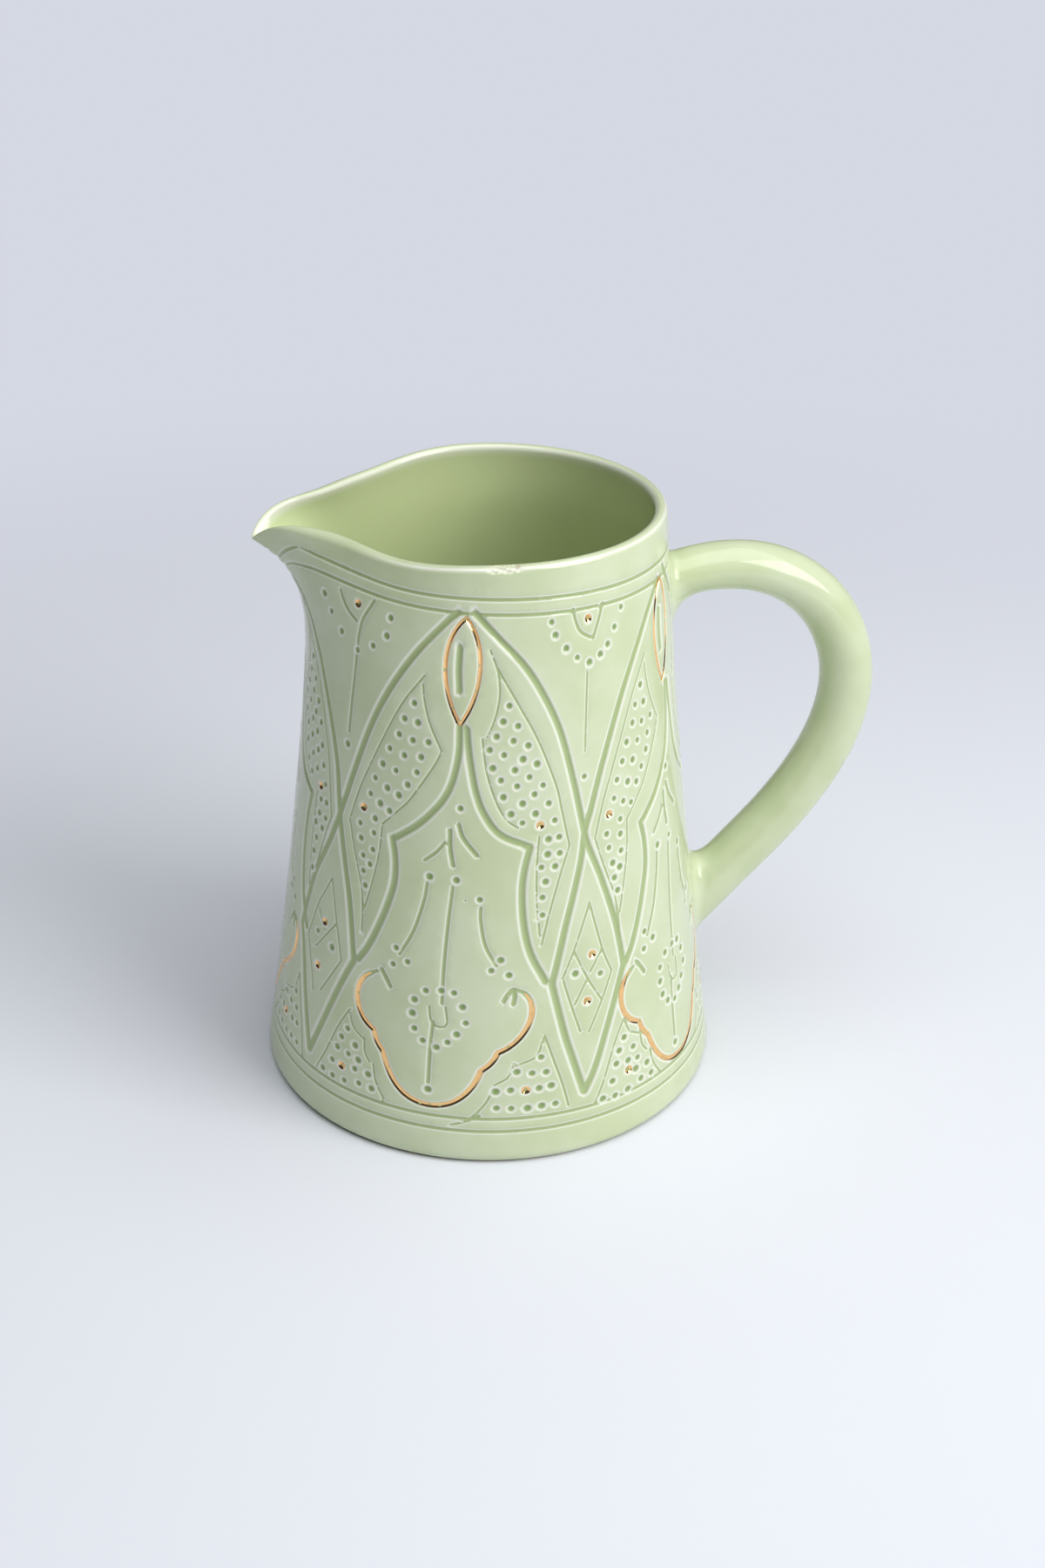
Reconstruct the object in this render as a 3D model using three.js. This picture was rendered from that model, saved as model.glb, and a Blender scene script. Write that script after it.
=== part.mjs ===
// A ceramic pitcher: a conical body with a pulled spout, a looped handle luted on with two clay fillets,
// and gold lustre lines and dots that pick out its engraved ornament.
// Millimetres, +Z up. The origin is the middle of the base, the handle is on +X and the spout on -X.

import * as THREE from "three";

// Body
const HEIGHT = 200;
const BASE_RADIUS = 77.8;
const MID_RADIUS = 64.6;
const RIM_RADIUS = 55.1;
const WALL = 5;
const FLOOR = 8;
const BASE_ROUND = 3.5;
const FLOOR_ROUND = 14;

// Pulled spout: angles are measured round the body from the spout's own middle, a hand's slip off the -X axis
const SPOUT_AZIMUTH = 182;
const SPOUT_REACH = 20.4;
const SPOUT_DROP = 8;
const SPOUT_DROP_ANGLE = 5;
const SPOUT_ANGLE = 13.6;
const SPOUT_BORE_ANGLE = 12;
const SPOUT_LIP = 3.7;
const SPOUT_DEPTH = 17.2;
const SPOUT_FLARE = 0.6;
const SPOUT_FADE_POWER = 1.25;
const SPOUT_BEAK_POWER = 1.6;
const SPOUT_DROP_POWER = 1.5;
const PINCH = 1.5;
const PINCH_ANGLE = 50;
const PINCH_SPREAD = 24;
const PINCH_DROP = 2.2;

// Handle: the path lies in the XZ plane and runs from the upper joint, over the bulge, to the lower joint
const UPPER_JOINT_BELOW_RIM = 29;
const UPPER_JOINT_RISE = 18;
const UPPER_JOINT_PULL = 42;
const BULGE_BELOW_RIM = 69.5;
const BULGE_REACH = 59;
const BULGE_PULL_UP = 26;
const BULGE_PULL_DOWN = 22;
const LOWER_JOINT_HEIGHT = 49;
const LOWER_JOINT_SLOPE = 48;
const LOWER_STRAIGHT = 31.5;
const LOWER_PULL = 21;
const GRIP_THICKNESS = 17.6;
const GRIP_WIDTH = 19.2;
const NECK_THICKNESS = 14.4;
const NECK_WIDTH = 17;
const NECK_TAPER = 0.4;
const ROOT_DEPTH = 16;
const UPPER_NECK = 21;

// Clay fillets round the two ends of the handle
const UPPER_FILLET_OUTSIDE = 4;
const UPPER_FILLET_IN_LOOP = 12.5;
const LOWER_FILLET_OUTSIDE = 4;
const LOWER_FILLET_IN_LOOP = 15;
const FILLET_EDGE = 0.25;
const FILLET_NARROWING = 6;

// Gold lustre over the ornament
const COLUMNS = 5;
const FRONT_COLUMN_AZIMUTH = -105.3;
const HAND_SPACING = 3.2;
const HAND_LEAN = 7.5;
const FIELD_BOTTOM = 20;
const FIELD_BELOW_RIM = 15;
const GOLD_LINE = 1.6;
const GOLD_DOT = 2.8;
const GOLD_THICKNESS = 0.4;
const DOT_SHOULDER_RADIUS = 0.98;
const DOT_SHOULDER_HEIGHT = 0.32;

// Clearance between touching pieces, and between the gold and the handle's lower joint
const GAP = 0.3;
const JOINT_CLEARANCE = 0.3;

// Facets
const BODY_SEGMENTS = 72;
const BODY_CROWDING = 0.7;
const WALL_ROWS = 16;
const ROW_CROWDING = 1.7;
const CORNER_STEPS = 4;
const LIP_STEPS = 6;
const HANDLE_RINGS = 34;
const HANDLE_SIDES = 20;
const FILLET_SIDES = 28;
const FILLET_STEPS = 5;
const CLOSED_LINE_STEPS = 14;
const OPEN_LINE_STEPS = 6;
const DOT_SIDES = 8;
const SOLVE_STEPS = 40;

const radians = THREE.MathUtils.degToRad;
const mix = THREE.MathUtils.lerp;

const glaze = new THREE.MeshStandardMaterial({ color: 0xb7c894, roughness: 0.18, metalness: 0 });
const gold = new THREE.MeshStandardMaterial({ color: 0xc88c3c, roughness: 0.25, metalness: 1 });

// Outer radius of the thrown wall: a curve through the base, the middle and the rim.
function wallRadius(z) {
  const t = z / HEIGHT;
  return BASE_RADIUS * (1 - t) * (1 - 2 * t) + MID_RADIUS * 4 * t * (1 - t) + RIM_RADIUS * t * (2 * t - 1);
}

// How far the pulled spout moves a point of the wall. The depth through the wall is 0 outside and 1 inside.
function spoutShift(azimuth, z, depth) {
  const angle = Math.abs(THREE.MathUtils.euclideanModulo(azimuth - SPOUT_AZIMUTH + 180, 360) - 180);
  const below = Math.max(HEIGHT - z, 0);
  const fade = Math.exp(-((below / SPOUT_DEPTH) ** SPOUT_FADE_POWER));
  const spread = mix(SPOUT_ANGLE, SPOUT_BORE_ANGLE, depth) + SPOUT_FLARE * below;
  const beak = Math.exp(-((angle / spread) ** SPOUT_BEAK_POWER));
  const reach = SPOUT_REACH + depth * (WALL - SPOUT_LIP);
  const pinch = Math.exp(-(((angle - PINCH_ANGLE) / PINCH_SPREAD) ** 2));
  const droop = Math.exp(-((angle / SPOUT_DROP_ANGLE) ** SPOUT_DROP_POWER) - below / SPOUT_DEPTH);
  return {
    out: fade * (reach * beak - PINCH * pinch),
    down: SPOUT_DROP * droop + PINCH_DROP * pinch * fade,
  };
}

function azimuthOf(point) {
  return THREE.MathUtils.radToDeg(Math.atan2(point.y, point.x));
}

function polar(radius, azimuth, z) {
  return new THREE.Vector3(radius * Math.cos(radians(azimuth)), radius * Math.sin(radians(azimuth)), z);
}

// A point of the wall, with the spout's pull in it.
function pulledPoint(radius, azimuth, z, depth) {
  const shift = spoutShift(azimuth, z, depth);
  return polar(radius + shift.out, azimuth, z - shift.down);
}

// A point at a height on the outer wall, lifted off it along its normal, with that normal.
function onWall(azimuth, z, lift) {
  const step = 0.5;
  const at = (a, h) => pulledPoint(wallRadius(h), a, h, 0);
  const around = at(azimuth + step, z).sub(at(azimuth - step, z));
  const upward = at(azimuth, z + step).sub(at(azimuth, z - step));
  const normal = around.cross(upward).normalize();
  return { point: at(azimuth, z).addScaledVector(normal, lift), normal };
}

// Joins rings of points, each turning right-handed about the way they follow one another, into one closed
// solid. With the two middles of its ends the solid is capped there, and without them it closes as a hoop.
function loft(rings, capMiddles) {
  const sides = rings[0].length;
  const points = rings.flat();
  const faces = [];
  const spans = capMiddles ? rings.length - 1 : rings.length;
  for (let i = 0; i < spans; i++) {
    const here = i * sides;
    const next = ((i + 1) % rings.length) * sides;
    for (let j = 0; j < sides; j++) {
      const k = (j + 1) % sides;
      faces.push(here + j, here + k, next + k, here + j, next + k, next + j);
    }
  }
  if (capMiddles) {
    const first = points.push(...capMiddles) - 2;
    const end = (rings.length - 1) * sides;
    for (let j = 0; j < sides; j++) {
      const k = (j + 1) % sides;
      faces.push(first, k, j, first + 1, end + j, end + k);
    }
  }
  const geometry = new THREE.BufferGeometry().setFromPoints(points);
  geometry.setIndex(faces);
  return geometry;
}

// Body: one closed profile, turned, with the spout pulled out of it
function arc(centre, radius, from, to, steps) {
  return Array.from({ length: steps + 1 }, (_, i) => {
    const a = radians(mix(from, to, i / steps));
    return { r: centre.r + radius * Math.cos(a), z: centre.z + radius * Math.sin(a) };
  });
}

function bodyProfile() {
  const lip = WALL / 2;
  const top = HEIGHT - lip;
  const heel = { r: wallRadius(BASE_ROUND) - BASE_ROUND, z: BASE_ROUND };
  const innerRadius = (z) => wallRadius(z) - WALL;
  const corner = { r: innerRadius(FLOOR + FLOOR_ROUND) - FLOOR_ROUND, z: FLOOR + FLOOR_ROUND };
  const rows = (bottom) => Array.from({ length: WALL_ROWS }, (_, i) => (
    top - (top - bottom) * ((i + 1) / (WALL_ROWS + 1)) ** ROW_CROWDING
  ));
  const outside = [
    { r: 0, z: 0 },
    ...arc(heel, BASE_ROUND, -90, 0, CORNER_STEPS),
    ...rows(BASE_ROUND).reverse().map((z) => ({ r: wallRadius(z), z })),
  ];
  const rim = arc({ r: RIM_RADIUS - lip, z: top }, lip, 0, 180, LIP_STEPS);
  const inside = [
    ...rows(corner.z).map((z) => ({ r: innerRadius(z), z })),
    ...arc(corner, FLOOR_ROUND, 0, -90, CORNER_STEPS),
    { r: 0, z: FLOOR },
  ];
  return [
    ...outside.map((p) => ({ ...p, depth: 0 })),
    ...rim.map((p) => ({ ...p, depth: (RIM_RADIUS - p.r) / WALL })),
    ...inside.map((p) => ({ ...p, depth: 1 })),
  ];
}

function bodyGeometry() {
  const profile = bodyProfile();
  const geometry = new THREE.LatheGeometry(profile.map((p) => new THREE.Vector2(p.r, p.z)), BODY_SEGMENTS);
  const position = geometry.attributes.position;
  for (let i = 0; i <= BODY_SEGMENTS; i++) {
    const turn = (i % BODY_SEGMENTS) / BODY_SEGMENTS * 2 * Math.PI;
    const fromSpout = THREE.MathUtils.radToDeg(turn - BODY_CROWDING * Math.sin(turn));
    profile.forEach((p, j) => {
      const point = pulledPoint(p.r, SPOUT_AZIMUTH + fromSpout, p.z, p.depth);
      position.setXYZ(i * profile.length + j, point.x, point.y, point.z);
    });
  }
  geometry.deleteAttribute("normal");
  geometry.deleteAttribute("uv");
  return geometry;
}

// Handle: an oval section carried along a curve, ending on the wall
const upperHeight = HEIGHT - UPPER_JOINT_BELOW_RIM;
const bulgeHeight = HEIGHT - BULGE_BELOW_RIM;

function handlePath() {
  const point = (x, z) => new THREE.Vector3(x, 0, z);
  const heading = (degrees) => point(Math.cos(radians(degrees)), Math.sin(radians(degrees)));
  const along = (start, direction, length) => start.clone().addScaledVector(direction, length);
  const rise = heading(UPPER_JOINT_RISE);
  const climb = heading(LOWER_JOINT_SLOPE);
  const upper = point(wallRadius(upperHeight), upperHeight);
  const bulge = point(wallRadius(bulgeHeight) + BULGE_REACH, bulgeHeight);
  const lower = point(wallRadius(LOWER_JOINT_HEIGHT), LOWER_JOINT_HEIGHT);
  const knee = along(lower, climb, LOWER_STRAIGHT);
  const path = new THREE.CurvePath();
  path.add(new THREE.LineCurve3(along(upper, rise, -ROOT_DEPTH), upper));
  path.add(new THREE.CubicBezierCurve3(
    upper, along(upper, rise, UPPER_JOINT_PULL), point(bulge.x, bulge.z + BULGE_PULL_UP), bulge,
  ));
  path.add(new THREE.CubicBezierCurve3(
    bulge, point(bulge.x, bulge.z - BULGE_PULL_DOWN), along(knee, climb, LOWER_PULL), knee,
  ));
  path.add(new THREE.LineCurve3(knee, along(lower, climb, -ROOT_DEPTH)));
  return path;
}

const path = handlePath();
const pathLength = path.getLength();

// A point of the handle's skin: how far along the path, and the angle round the section.
function onHandle(distance, angle, lift) {
  const share = THREE.MathUtils.clamp(distance / pathLength, 0, 1);
  const swell = THREE.MathUtils.smoothstep(share, 0, NECK_TAPER);
  const thickness = mix(NECK_THICKNESS, GRIP_THICKNESS, swell) / 2 + lift;
  const width = mix(NECK_WIDTH, GRIP_WIDTH, swell) / 2 + lift;
  const tangent = path.getTangentAt(share);
  const outward = new THREE.Vector3(-tangent.z, 0, tangent.x);
  const centre = path.getPointAt(share);
  centre.addScaledVector(outward, thickness * Math.cos(angle));
  centre.y -= width * Math.sin(angle);
  return centre;
}

// Where a line of the skin meets the wall, searched between a distance inside the wall and one clear of it.
function meetsWall(angle, lift, inside, clear) {
  for (let i = 0; i < SOLVE_STEPS; i++) {
    const middle = (inside + clear) / 2;
    const p = onHandle(middle, angle, lift);
    if (Math.hypot(p.x, p.y) < wallRadius(p.z) + GAP) inside = middle;
    else clear = middle;
  }
  return clear;
}

const upperEnd = {
  inside: 0,
  clear: ROOT_DEPTH + UPPER_NECK,
  away: 1,
  fillets: [UPPER_FILLET_OUTSIDE, UPPER_FILLET_IN_LOOP],
};
const lowerEnd = {
  inside: pathLength,
  clear: pathLength - ROOT_DEPTH - LOWER_STRAIGHT,
  away: -1,
  fillets: [LOWER_FILLET_OUTSIDE, LOWER_FILLET_IN_LOOP],
};

function handleGeometry() {
  const angles = Array.from({ length: HANDLE_SIDES }, (_, j) => j / HANDLE_SIDES * 2 * Math.PI);
  const starts = angles.map((a) => meetsWall(a, 0, upperEnd.inside, upperEnd.clear));
  const ends = angles.map((a) => meetsWall(a, 0, lowerEnd.inside, lowerEnd.clear));
  const rings = Array.from({ length: HANDLE_RINGS + 1 }, (_, i) => angles.map((a, j) => (
    onHandle(mix(starts[j], ends[j], i / HANDLE_RINGS), a, 0)
  )));
  const centreOf = (distances) => {
    const middle = distances.reduce((sum, d) => sum + d, 0) / distances.length;
    const p = path.getPointAt(middle / pathLength);
    return new THREE.Vector3(wallRadius(p.z) + GAP, 0, p.z);
  };
  return loft(rings, [centreOf(starts), centreOf(ends)]);
}

// Fillet: a hoop of clay whose hollow face runs from the wall onto the handle, wider inside the loop.
// Its corner is where the skin meets the wall, and its foot is where it runs out on the wall.
function filletCorner(end, angle) {
  const share = Math.sin(angle / 2) ** FILLET_NARROWING;
  const fillet = mix(...end.fillets, share);
  const hit = meetsWall(angle, GAP, end.inside, end.clear);
  const corner = onHandle(hit, angle, GAP);
  const normal = onWall(azimuthOf(corner), corner.z, 0).normal;
  const axis = path.getPointAt(hit / pathLength);
  const spread = corner.clone().sub(axis).projectOnPlane(normal).normalize();
  const foot = corner.clone().addScaledVector(spread, fillet);
  return { corner, foot, edge: hit + end.away * fillet };
}

function filletGeometry(end) {
  const section = (angle) => {
    const { corner, foot, edge } = filletCorner(end, angle);
    const onGrip = onHandle(edge, angle, GAP);
    const gripEdge = onHandle(edge, angle, GAP + FILLET_EDGE);
    const footAzimuth = azimuthOf(foot);
    const onBody = onWall(footAzimuth, foot.z, GAP).point;
    const bodyEdge = onWall(footAzimuth, foot.z, GAP + FILLET_EDGE).point;
    const hollow = new THREE.QuadraticBezierCurve3(bodyEdge, corner, gripEdge);
    const outline = [onBody, ...hollow.getPoints(FILLET_STEPS), onGrip, corner];
    return end.away < 0 ? outline : outline.reverse();
  };
  return loft(Array.from({ length: FILLET_SIDES }, (_, i) => section(i / FILLET_SIDES * 2 * Math.PI)));
}

// Half the width of the wall that the lower joint covers at a height
const lowerFeet = Array.from({ length: FILLET_SIDES / 2 + 1 }, (_, i) => (
  filletCorner(lowerEnd, i / FILLET_SIDES * 2 * Math.PI).foot
));

function coveredByJoint(z) {
  const next = lowerFeet.findIndex((foot) => foot.z > z);
  if (next < 1) return 0;
  const low = lowerFeet[next - 1];
  const high = lowerFeet[next];
  return Math.abs(THREE.MathUtils.mapLinear(z, low.z, high.z, low.y, high.y));
}

// Ornament: across is in degrees from a column's middle, up is in millimetres on the drawn height of the field
const DRAWN_BOTTOM = 20;
const DRAWN_TOP = 185;
const fieldTop = HEIGHT - FIELD_BELOW_RIM;
const columnWidth = 360 / COLUMNS;

const at = (across, up) => new THREE.Vector2(across, up);

// How far the hand strays from the drawn place, by column and motif
const STRAYS = [
  { lozenge_upper: at(2.1, -0.5), lozenge_lower: at(1.8, 0), fan: at(0, -0.8) },
  { almond: at(-0.5, -1), scallop: at(-1.3, -2.4), panel_left: at(-0.7, -1.3), corner_left: at(3, 0) },
  { scallop: at(1.1, -0.6), panel_right: at(-1, 0.8) },
  { almond: at(0.6, 0.4), corner_left: at(-1, 0.5), panel_left: at(0.8, -0.6) },
  { almond: at(-3, 0), scallop: at(-1.6, 1), panel_right: at(2.8, -1.6), corner_right: at(-2, 0),
    lozenge_upper: at(-2, 0.5), lozenge_lower: at(-1.9, 0.1), fan: at(0.6, 0.8) },
];

function onOrnament(column, motif, spot, lift, slide = 0) {
  const stray = STRAYS[column][motif] ?? at(0, 0);
  const turn = column * columnWidth + spot.x + stray.x;
  const drawn = spot.y + stray.y;
  const up = THREE.MathUtils.mapLinear(drawn, DRAWN_BOTTOM, DRAWN_TOP, FIELD_BOTTOM, fieldTop);
  const below = (fieldTop - up) / (fieldTop - FIELD_BOTTOM);
  const uneven = HAND_SPACING * Math.sin(radians(turn));
  return onWall(FRONT_COLUMN_AZIMUTH + turn + uneven - HAND_LEAN * below + slide, up, lift);
}

// How far round the body a drawn line slides, in degrees, so that its gold stays clear of the lower joint
function slideClear(column, motif, drawn) {
  const slides = drawn.map((spot) => {
    const { point } = onOrnament(column, motif, spot, GAP);
    const covered = coveredByJoint(point.z);
    if (covered === 0) return 0;
    const reach = (covered + JOINT_CLEARANCE + GOLD_LINE / 2) / Math.hypot(point.x, point.y);
    const azimuth = azimuthOf(point);
    const short = THREE.MathUtils.radToDeg(Math.asin(reach)) - Math.abs(azimuth);
    return Math.sign(azimuth) * Math.max(short, 0);
  });
  return Math.min(...slides) + Math.max(...slides);
}

const bend = (...points) => new THREE.CubicBezierCurve(...points);
const ALMOND = [
  bend(at(0, 184.3), at(-6.9, 178), at(-6.9, 163), at(0, 150.3)),
  bend(at(0, 150.3), at(6.4, 161), at(6.4, 177), at(0, 184.3)),
];
const SCALLOP = [
  bend(at(-19, 61.5), at(-24.5, 57), at(-23, 45), at(-16.2, 42)),
  bend(at(-16.2, 42), at(-15.8, 39.5), at(-14.6, 37), at(-13.2, 35.6)),
  bend(at(-13.2, 35.6), at(-10, 24.5), at(-6, 20.2), at(0, 20.2)),
  bend(at(0, 20.2), at(6, 20.2), at(10, 26), at(11.7, 34)),
  bend(at(11.7, 34), at(13.4, 35.4), at(14.8, 37.6), at(15.4, 40.3)),
  bend(at(15.4, 40.3), at(22, 43.5), at(26, 55), at(21.3, 60.5)),
];
const DOTS = {
  panel_left: at(-26.8, 117),
  panel_right: at(23.5, 117.3),
  corner_left: at(-24.5, 24.3),
  corner_right: at(22.7, 26.5),
  fan: at(36.5, 182),
  lozenge_upper: at(37.2, 70.5),
  lozenge_lower: at(36.2, 54.2),
};
// The column whose right-hand edge lies under the handle, where these dots are left out
const HANDLE_COLUMN = 1;
const UNDER_HANDLE = ["fan", "lozenge_upper", "lozenge_lower"];

// A flat band of lustre along a drawn line
function goldLine(column, motif, curves, closed) {
  const steps = closed ? CLOSED_LINE_STEPS : OPEN_LINE_STEPS;
  const drawn = curves.flatMap((curve) => curve.getPoints(steps).slice(1));
  if (!closed) drawn.unshift(curves[0].getPoint(0));
  const slide = slideClear(column, motif, drawn);
  const spots = drawn.map((p) => onOrnament(column, motif, p, GAP, slide));
  const count = spots.length;
  const near = (i) => spots[closed ? (i + count) % count : THREE.MathUtils.clamp(i, 0, count - 1)].point;
  const rings = spots.map(({ point, normal }, i) => {
    const along = near(i + 1).clone().sub(near(i - 1)).normalize();
    const side = normal.clone().cross(along).normalize().multiplyScalar(GOLD_LINE / 2);
    const rise = normal.clone().multiplyScalar(GOLD_THICKNESS);
    const left = point.clone().add(side);
    const right = point.clone().sub(side);
    return [left, left.clone().add(rise), right.clone().add(rise), right];
  });
  const middle = (ring) => ring[0].clone().lerp(ring[2], 0.5);
  return closed ? loft(rings) : loft(rings, [middle(rings[0]), middle(rings[count - 1])]);
}

function goldDot(column, motif, spot) {
  const radius = GOLD_DOT / 2;
  const profile = [
    new THREE.Vector2(0, 0),
    new THREE.Vector2(radius, 0),
    new THREE.Vector2(DOT_SHOULDER_RADIUS, DOT_SHOULDER_HEIGHT),
    new THREE.Vector2(0, GOLD_THICKNESS),
  ];
  const { point, normal } = onOrnament(column, motif, spot, GAP);
  const dot = new THREE.Mesh(new THREE.LatheGeometry(profile, DOT_SIDES), gold);
  dot.position.copy(point);
  dot.quaternion.setFromUnitVectors(new THREE.Vector3(0, 1, 0), normal);
  return dot;
}

// Assembly
const pitcher = new THREE.Group();

function add(name, mesh) {
  mesh.name = name;
  pitcher.add(mesh);
}

add("body", new THREE.Mesh(bodyGeometry(), glaze));
add("handle", new THREE.Mesh(handleGeometry(), glaze));
add("upper_handle_fillet", new THREE.Mesh(filletGeometry(upperEnd), glaze));
add("lower_handle_fillet", new THREE.Mesh(filletGeometry(lowerEnd), glaze));
for (let column = 0; column < COLUMNS; column++) {
  const besideHandle = column === HANDLE_COLUMN;
  add(`gold_almond_${column + 1}`, new THREE.Mesh(goldLine(column, "almond", ALMOND, true), gold));
  add(`gold_scallop_${column + 1}`, new THREE.Mesh(goldLine(column, "scallop", SCALLOP, false), gold));
  for (const [place, spot] of Object.entries(DOTS)) {
    const covered = besideHandle && UNDER_HANDLE.includes(place);
    if (!covered) add(`gold_dot_${place}_${column + 1}`, goldDot(column, place, spot));
  }
}

export default pitcher;
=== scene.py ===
"""The looks of a glazed ceramic pitcher: the carved body, its handle and the gold lustre, on a pale floor.

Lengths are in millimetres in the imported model's frame (origin in the middle of the base, +Z up, handle on
+X, spout on -X), but metres for the floor and lamps. Angles are in degrees.
"""

import math
import random

import bpy
import numpy as np
from mathutils import Matrix, Vector, kdtree
from mathutils.geometry import delaunay_2d_cdt


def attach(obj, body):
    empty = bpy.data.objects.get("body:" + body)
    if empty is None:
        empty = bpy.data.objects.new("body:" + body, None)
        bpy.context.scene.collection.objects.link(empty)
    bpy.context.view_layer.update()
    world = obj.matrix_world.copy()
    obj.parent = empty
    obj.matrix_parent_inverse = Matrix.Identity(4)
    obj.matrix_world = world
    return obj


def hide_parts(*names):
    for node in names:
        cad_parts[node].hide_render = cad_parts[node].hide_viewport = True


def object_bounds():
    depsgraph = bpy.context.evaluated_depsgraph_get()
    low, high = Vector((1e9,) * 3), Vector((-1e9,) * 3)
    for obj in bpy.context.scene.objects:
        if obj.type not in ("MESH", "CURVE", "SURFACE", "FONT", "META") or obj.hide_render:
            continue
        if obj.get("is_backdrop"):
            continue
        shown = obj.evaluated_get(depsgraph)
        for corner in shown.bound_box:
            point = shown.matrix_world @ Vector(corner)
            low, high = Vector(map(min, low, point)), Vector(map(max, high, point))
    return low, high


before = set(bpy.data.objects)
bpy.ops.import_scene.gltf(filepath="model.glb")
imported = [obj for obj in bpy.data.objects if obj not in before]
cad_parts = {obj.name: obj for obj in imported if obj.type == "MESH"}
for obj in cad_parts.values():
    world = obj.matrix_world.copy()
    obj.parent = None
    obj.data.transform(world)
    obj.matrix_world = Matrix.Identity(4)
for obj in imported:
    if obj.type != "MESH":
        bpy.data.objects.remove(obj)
cad_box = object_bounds()
scene = bpy.context.scene

MM = 0.001

# Body and spout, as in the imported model
HEIGHT = 200
BASE_RADIUS = 77.8
MID_RADIUS = 64.6
RIM_RADIUS = 55.1
WALL = 5
FLOOR = 8
BASE_ROUND = 3.5
FLOOR_ROUND = 14
SPOUT_AZIMUTH = 182
SPOUT_REACH = 20.4
SPOUT_DROP = 8
SPOUT_DROP_ANGLE = 5
SPOUT_ANGLE = 13.6
SPOUT_BORE_ANGLE = 12
SPOUT_LIP = 3.7
SPOUT_DEPTH = 17.2
SPOUT_FLARE = 0.6
SPOUT_FADE_POWER = 1.25
SPOUT_BEAK_POWER = 1.6
SPOUT_DROP_POWER = 1.5
PINCH = 1.5
PINCH_ANGLE = 50
PINCH_SPREAD = 24
PINCH_DROP = 2.2

# Only in these looks: the lip flares inside at the spout, and the wall thins to it
LIP_FLARE = 1.8
LIP_FLARE_DEPTH = 8
LIP_WALL = 4
LIP_TAPER = 22

# Handle and its fillets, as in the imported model
UPPER_JOINT_HEIGHT = 171
UPPER_JOINT_RISE = 18
UPPER_JOINT_PULL = 42
BULGE_HEIGHT = 130.5
BULGE_REACH = 59
BULGE_PULL_UP = 26
BULGE_PULL_DOWN = 22
LOWER_JOINT_HEIGHT = 49
LOWER_JOINT_SLOPE = 48
LOWER_STRAIGHT = 31.5
LOWER_PULL = 21
GRIP_THICKNESS = 17.6
GRIP_WIDTH = 19.2
NECK_THICKNESS = 14.4
NECK_WIDTH = 17
NECK_TAPER = 0.4
ROOT_DEPTH = 16
UPPER_NECK = 21
UPPER_FILLETS = (4, 12.5)
LOWER_FILLETS = (4, 15)
FILLET_NARROWING = 6
# How deep pieces reach into wall and grip, and how far a fillet's edges stand off them
BURIAL = 1.2
GRIP_BURIAL = 0.5
FILLET_LIFT = 0.02

# A bruise in the lip. Its ragged edge sums waves: size, turn along the lip, turn over it, start
BRUISE_AZIMUTH = -93.5
BRUISE_SPREAD = 5
BRUISE_POWER = 4
BRUISE_DEPTH = 0.9
BRUISE_PUSH = 0.5
BRUISE_BAND = (2, 1.2)
BRUISE_ENDS = (0.5, 0.8)
RAGGED = 0.5
RAGGED_WAVES = ((0.2, 1.3, 19, 0), (0.2, 3.3, -27, 2), (0.12, 5.9, 15, 0))

# Glaze run thin on the lip, partly a painted highlight: a fine line outside that fades out at the spout,
# and a softer one inside
LINE_PLACE = 0.13
LINE_SPREAD = 0.085
LINE_BAND = (2.4, 1.4)
LINE_FADES = (20, 65)
INNER_PLACE = (0.6, 0.85)
INNER_BAND = (5, 1)
INNER_STRENGTH = 0.75

# The drawn ornament: five columns round the body, leaning and spaced by hand
COLUMNS = 5
COLUMN_WIDTH = 360 / COLUMNS
FRONT_AZIMUTH = -105.3
HAND_SPACING = 3.2
HAND_LEAN = 7.5
FIELD_TOP = 185
FIELD_BOTTOM = 20

# Cuts: half width, depth, and rows of points on either side of a stroke's middle, in half widths.
# Those without rows are pricks.
CUTS = {
    "gouge": (1.4, 0.65, (0.45, 0.9, 1.25, 1.7)),
    "leaf": (0.95, 0.5, (0.5, 1, 1.65)),
    "line": (0.72, 0.42, (0.65, 1.1, 1.7)),
    "scratch": (0.5, 0.32, (0.75, 1.7)),
    "almond": (0.85, 0.52, (0.5, 0.95, 1.65)),
    "scallop": (1.05, 0.42, (0.5, 0.95, 1.6)),
    "prick": (1.32, 0.58, ()),
    "gold_prick": (1.45, 0.6, ()),
    "pit": (0.45, 0.4, ()),
}
PRICK_SIZES = (0.88, 1.12)
PRICK_SEED = 11
# Section of a cut, in half widths: groove, burr beside it, and where the wall is left uncut
GROOVE = 0.75
GROOVE_POWER = 2.6
BURR = 0.12
BURR_PLACE = 1.35
BURR_SPREAD = 0.4
UNCUT = (0.7, 1.2)
FAR = 4
# Middle height, half width and half height of the wall under each handle joint, left uncut
JOINT_PATCHES = ((170, 16, 18), (51, 15.5, 21))
# Also the wall behind the handle, left without pricks
PRICK_PATCHES = JOINT_PATCHES + ((138, 23, 32),)
# The shortest stroke kept beside a joint
SHORTEST_RUN = 5

# The carved wall, laid flat with the spout at 0: heights, millimetres to a degree and to half a turn
CARVED_BOTTOM = 8.5
CARVED_TOP = 194.5
FLAT_RADIUS = 65
ARC = math.radians(1) * FLAT_RADIUS
HALF_AROUND = 180 * ARC
# Where it starts and ends up the texture's layout
WALL_IN_LAYOUT = (0.06, 0.7)

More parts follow.
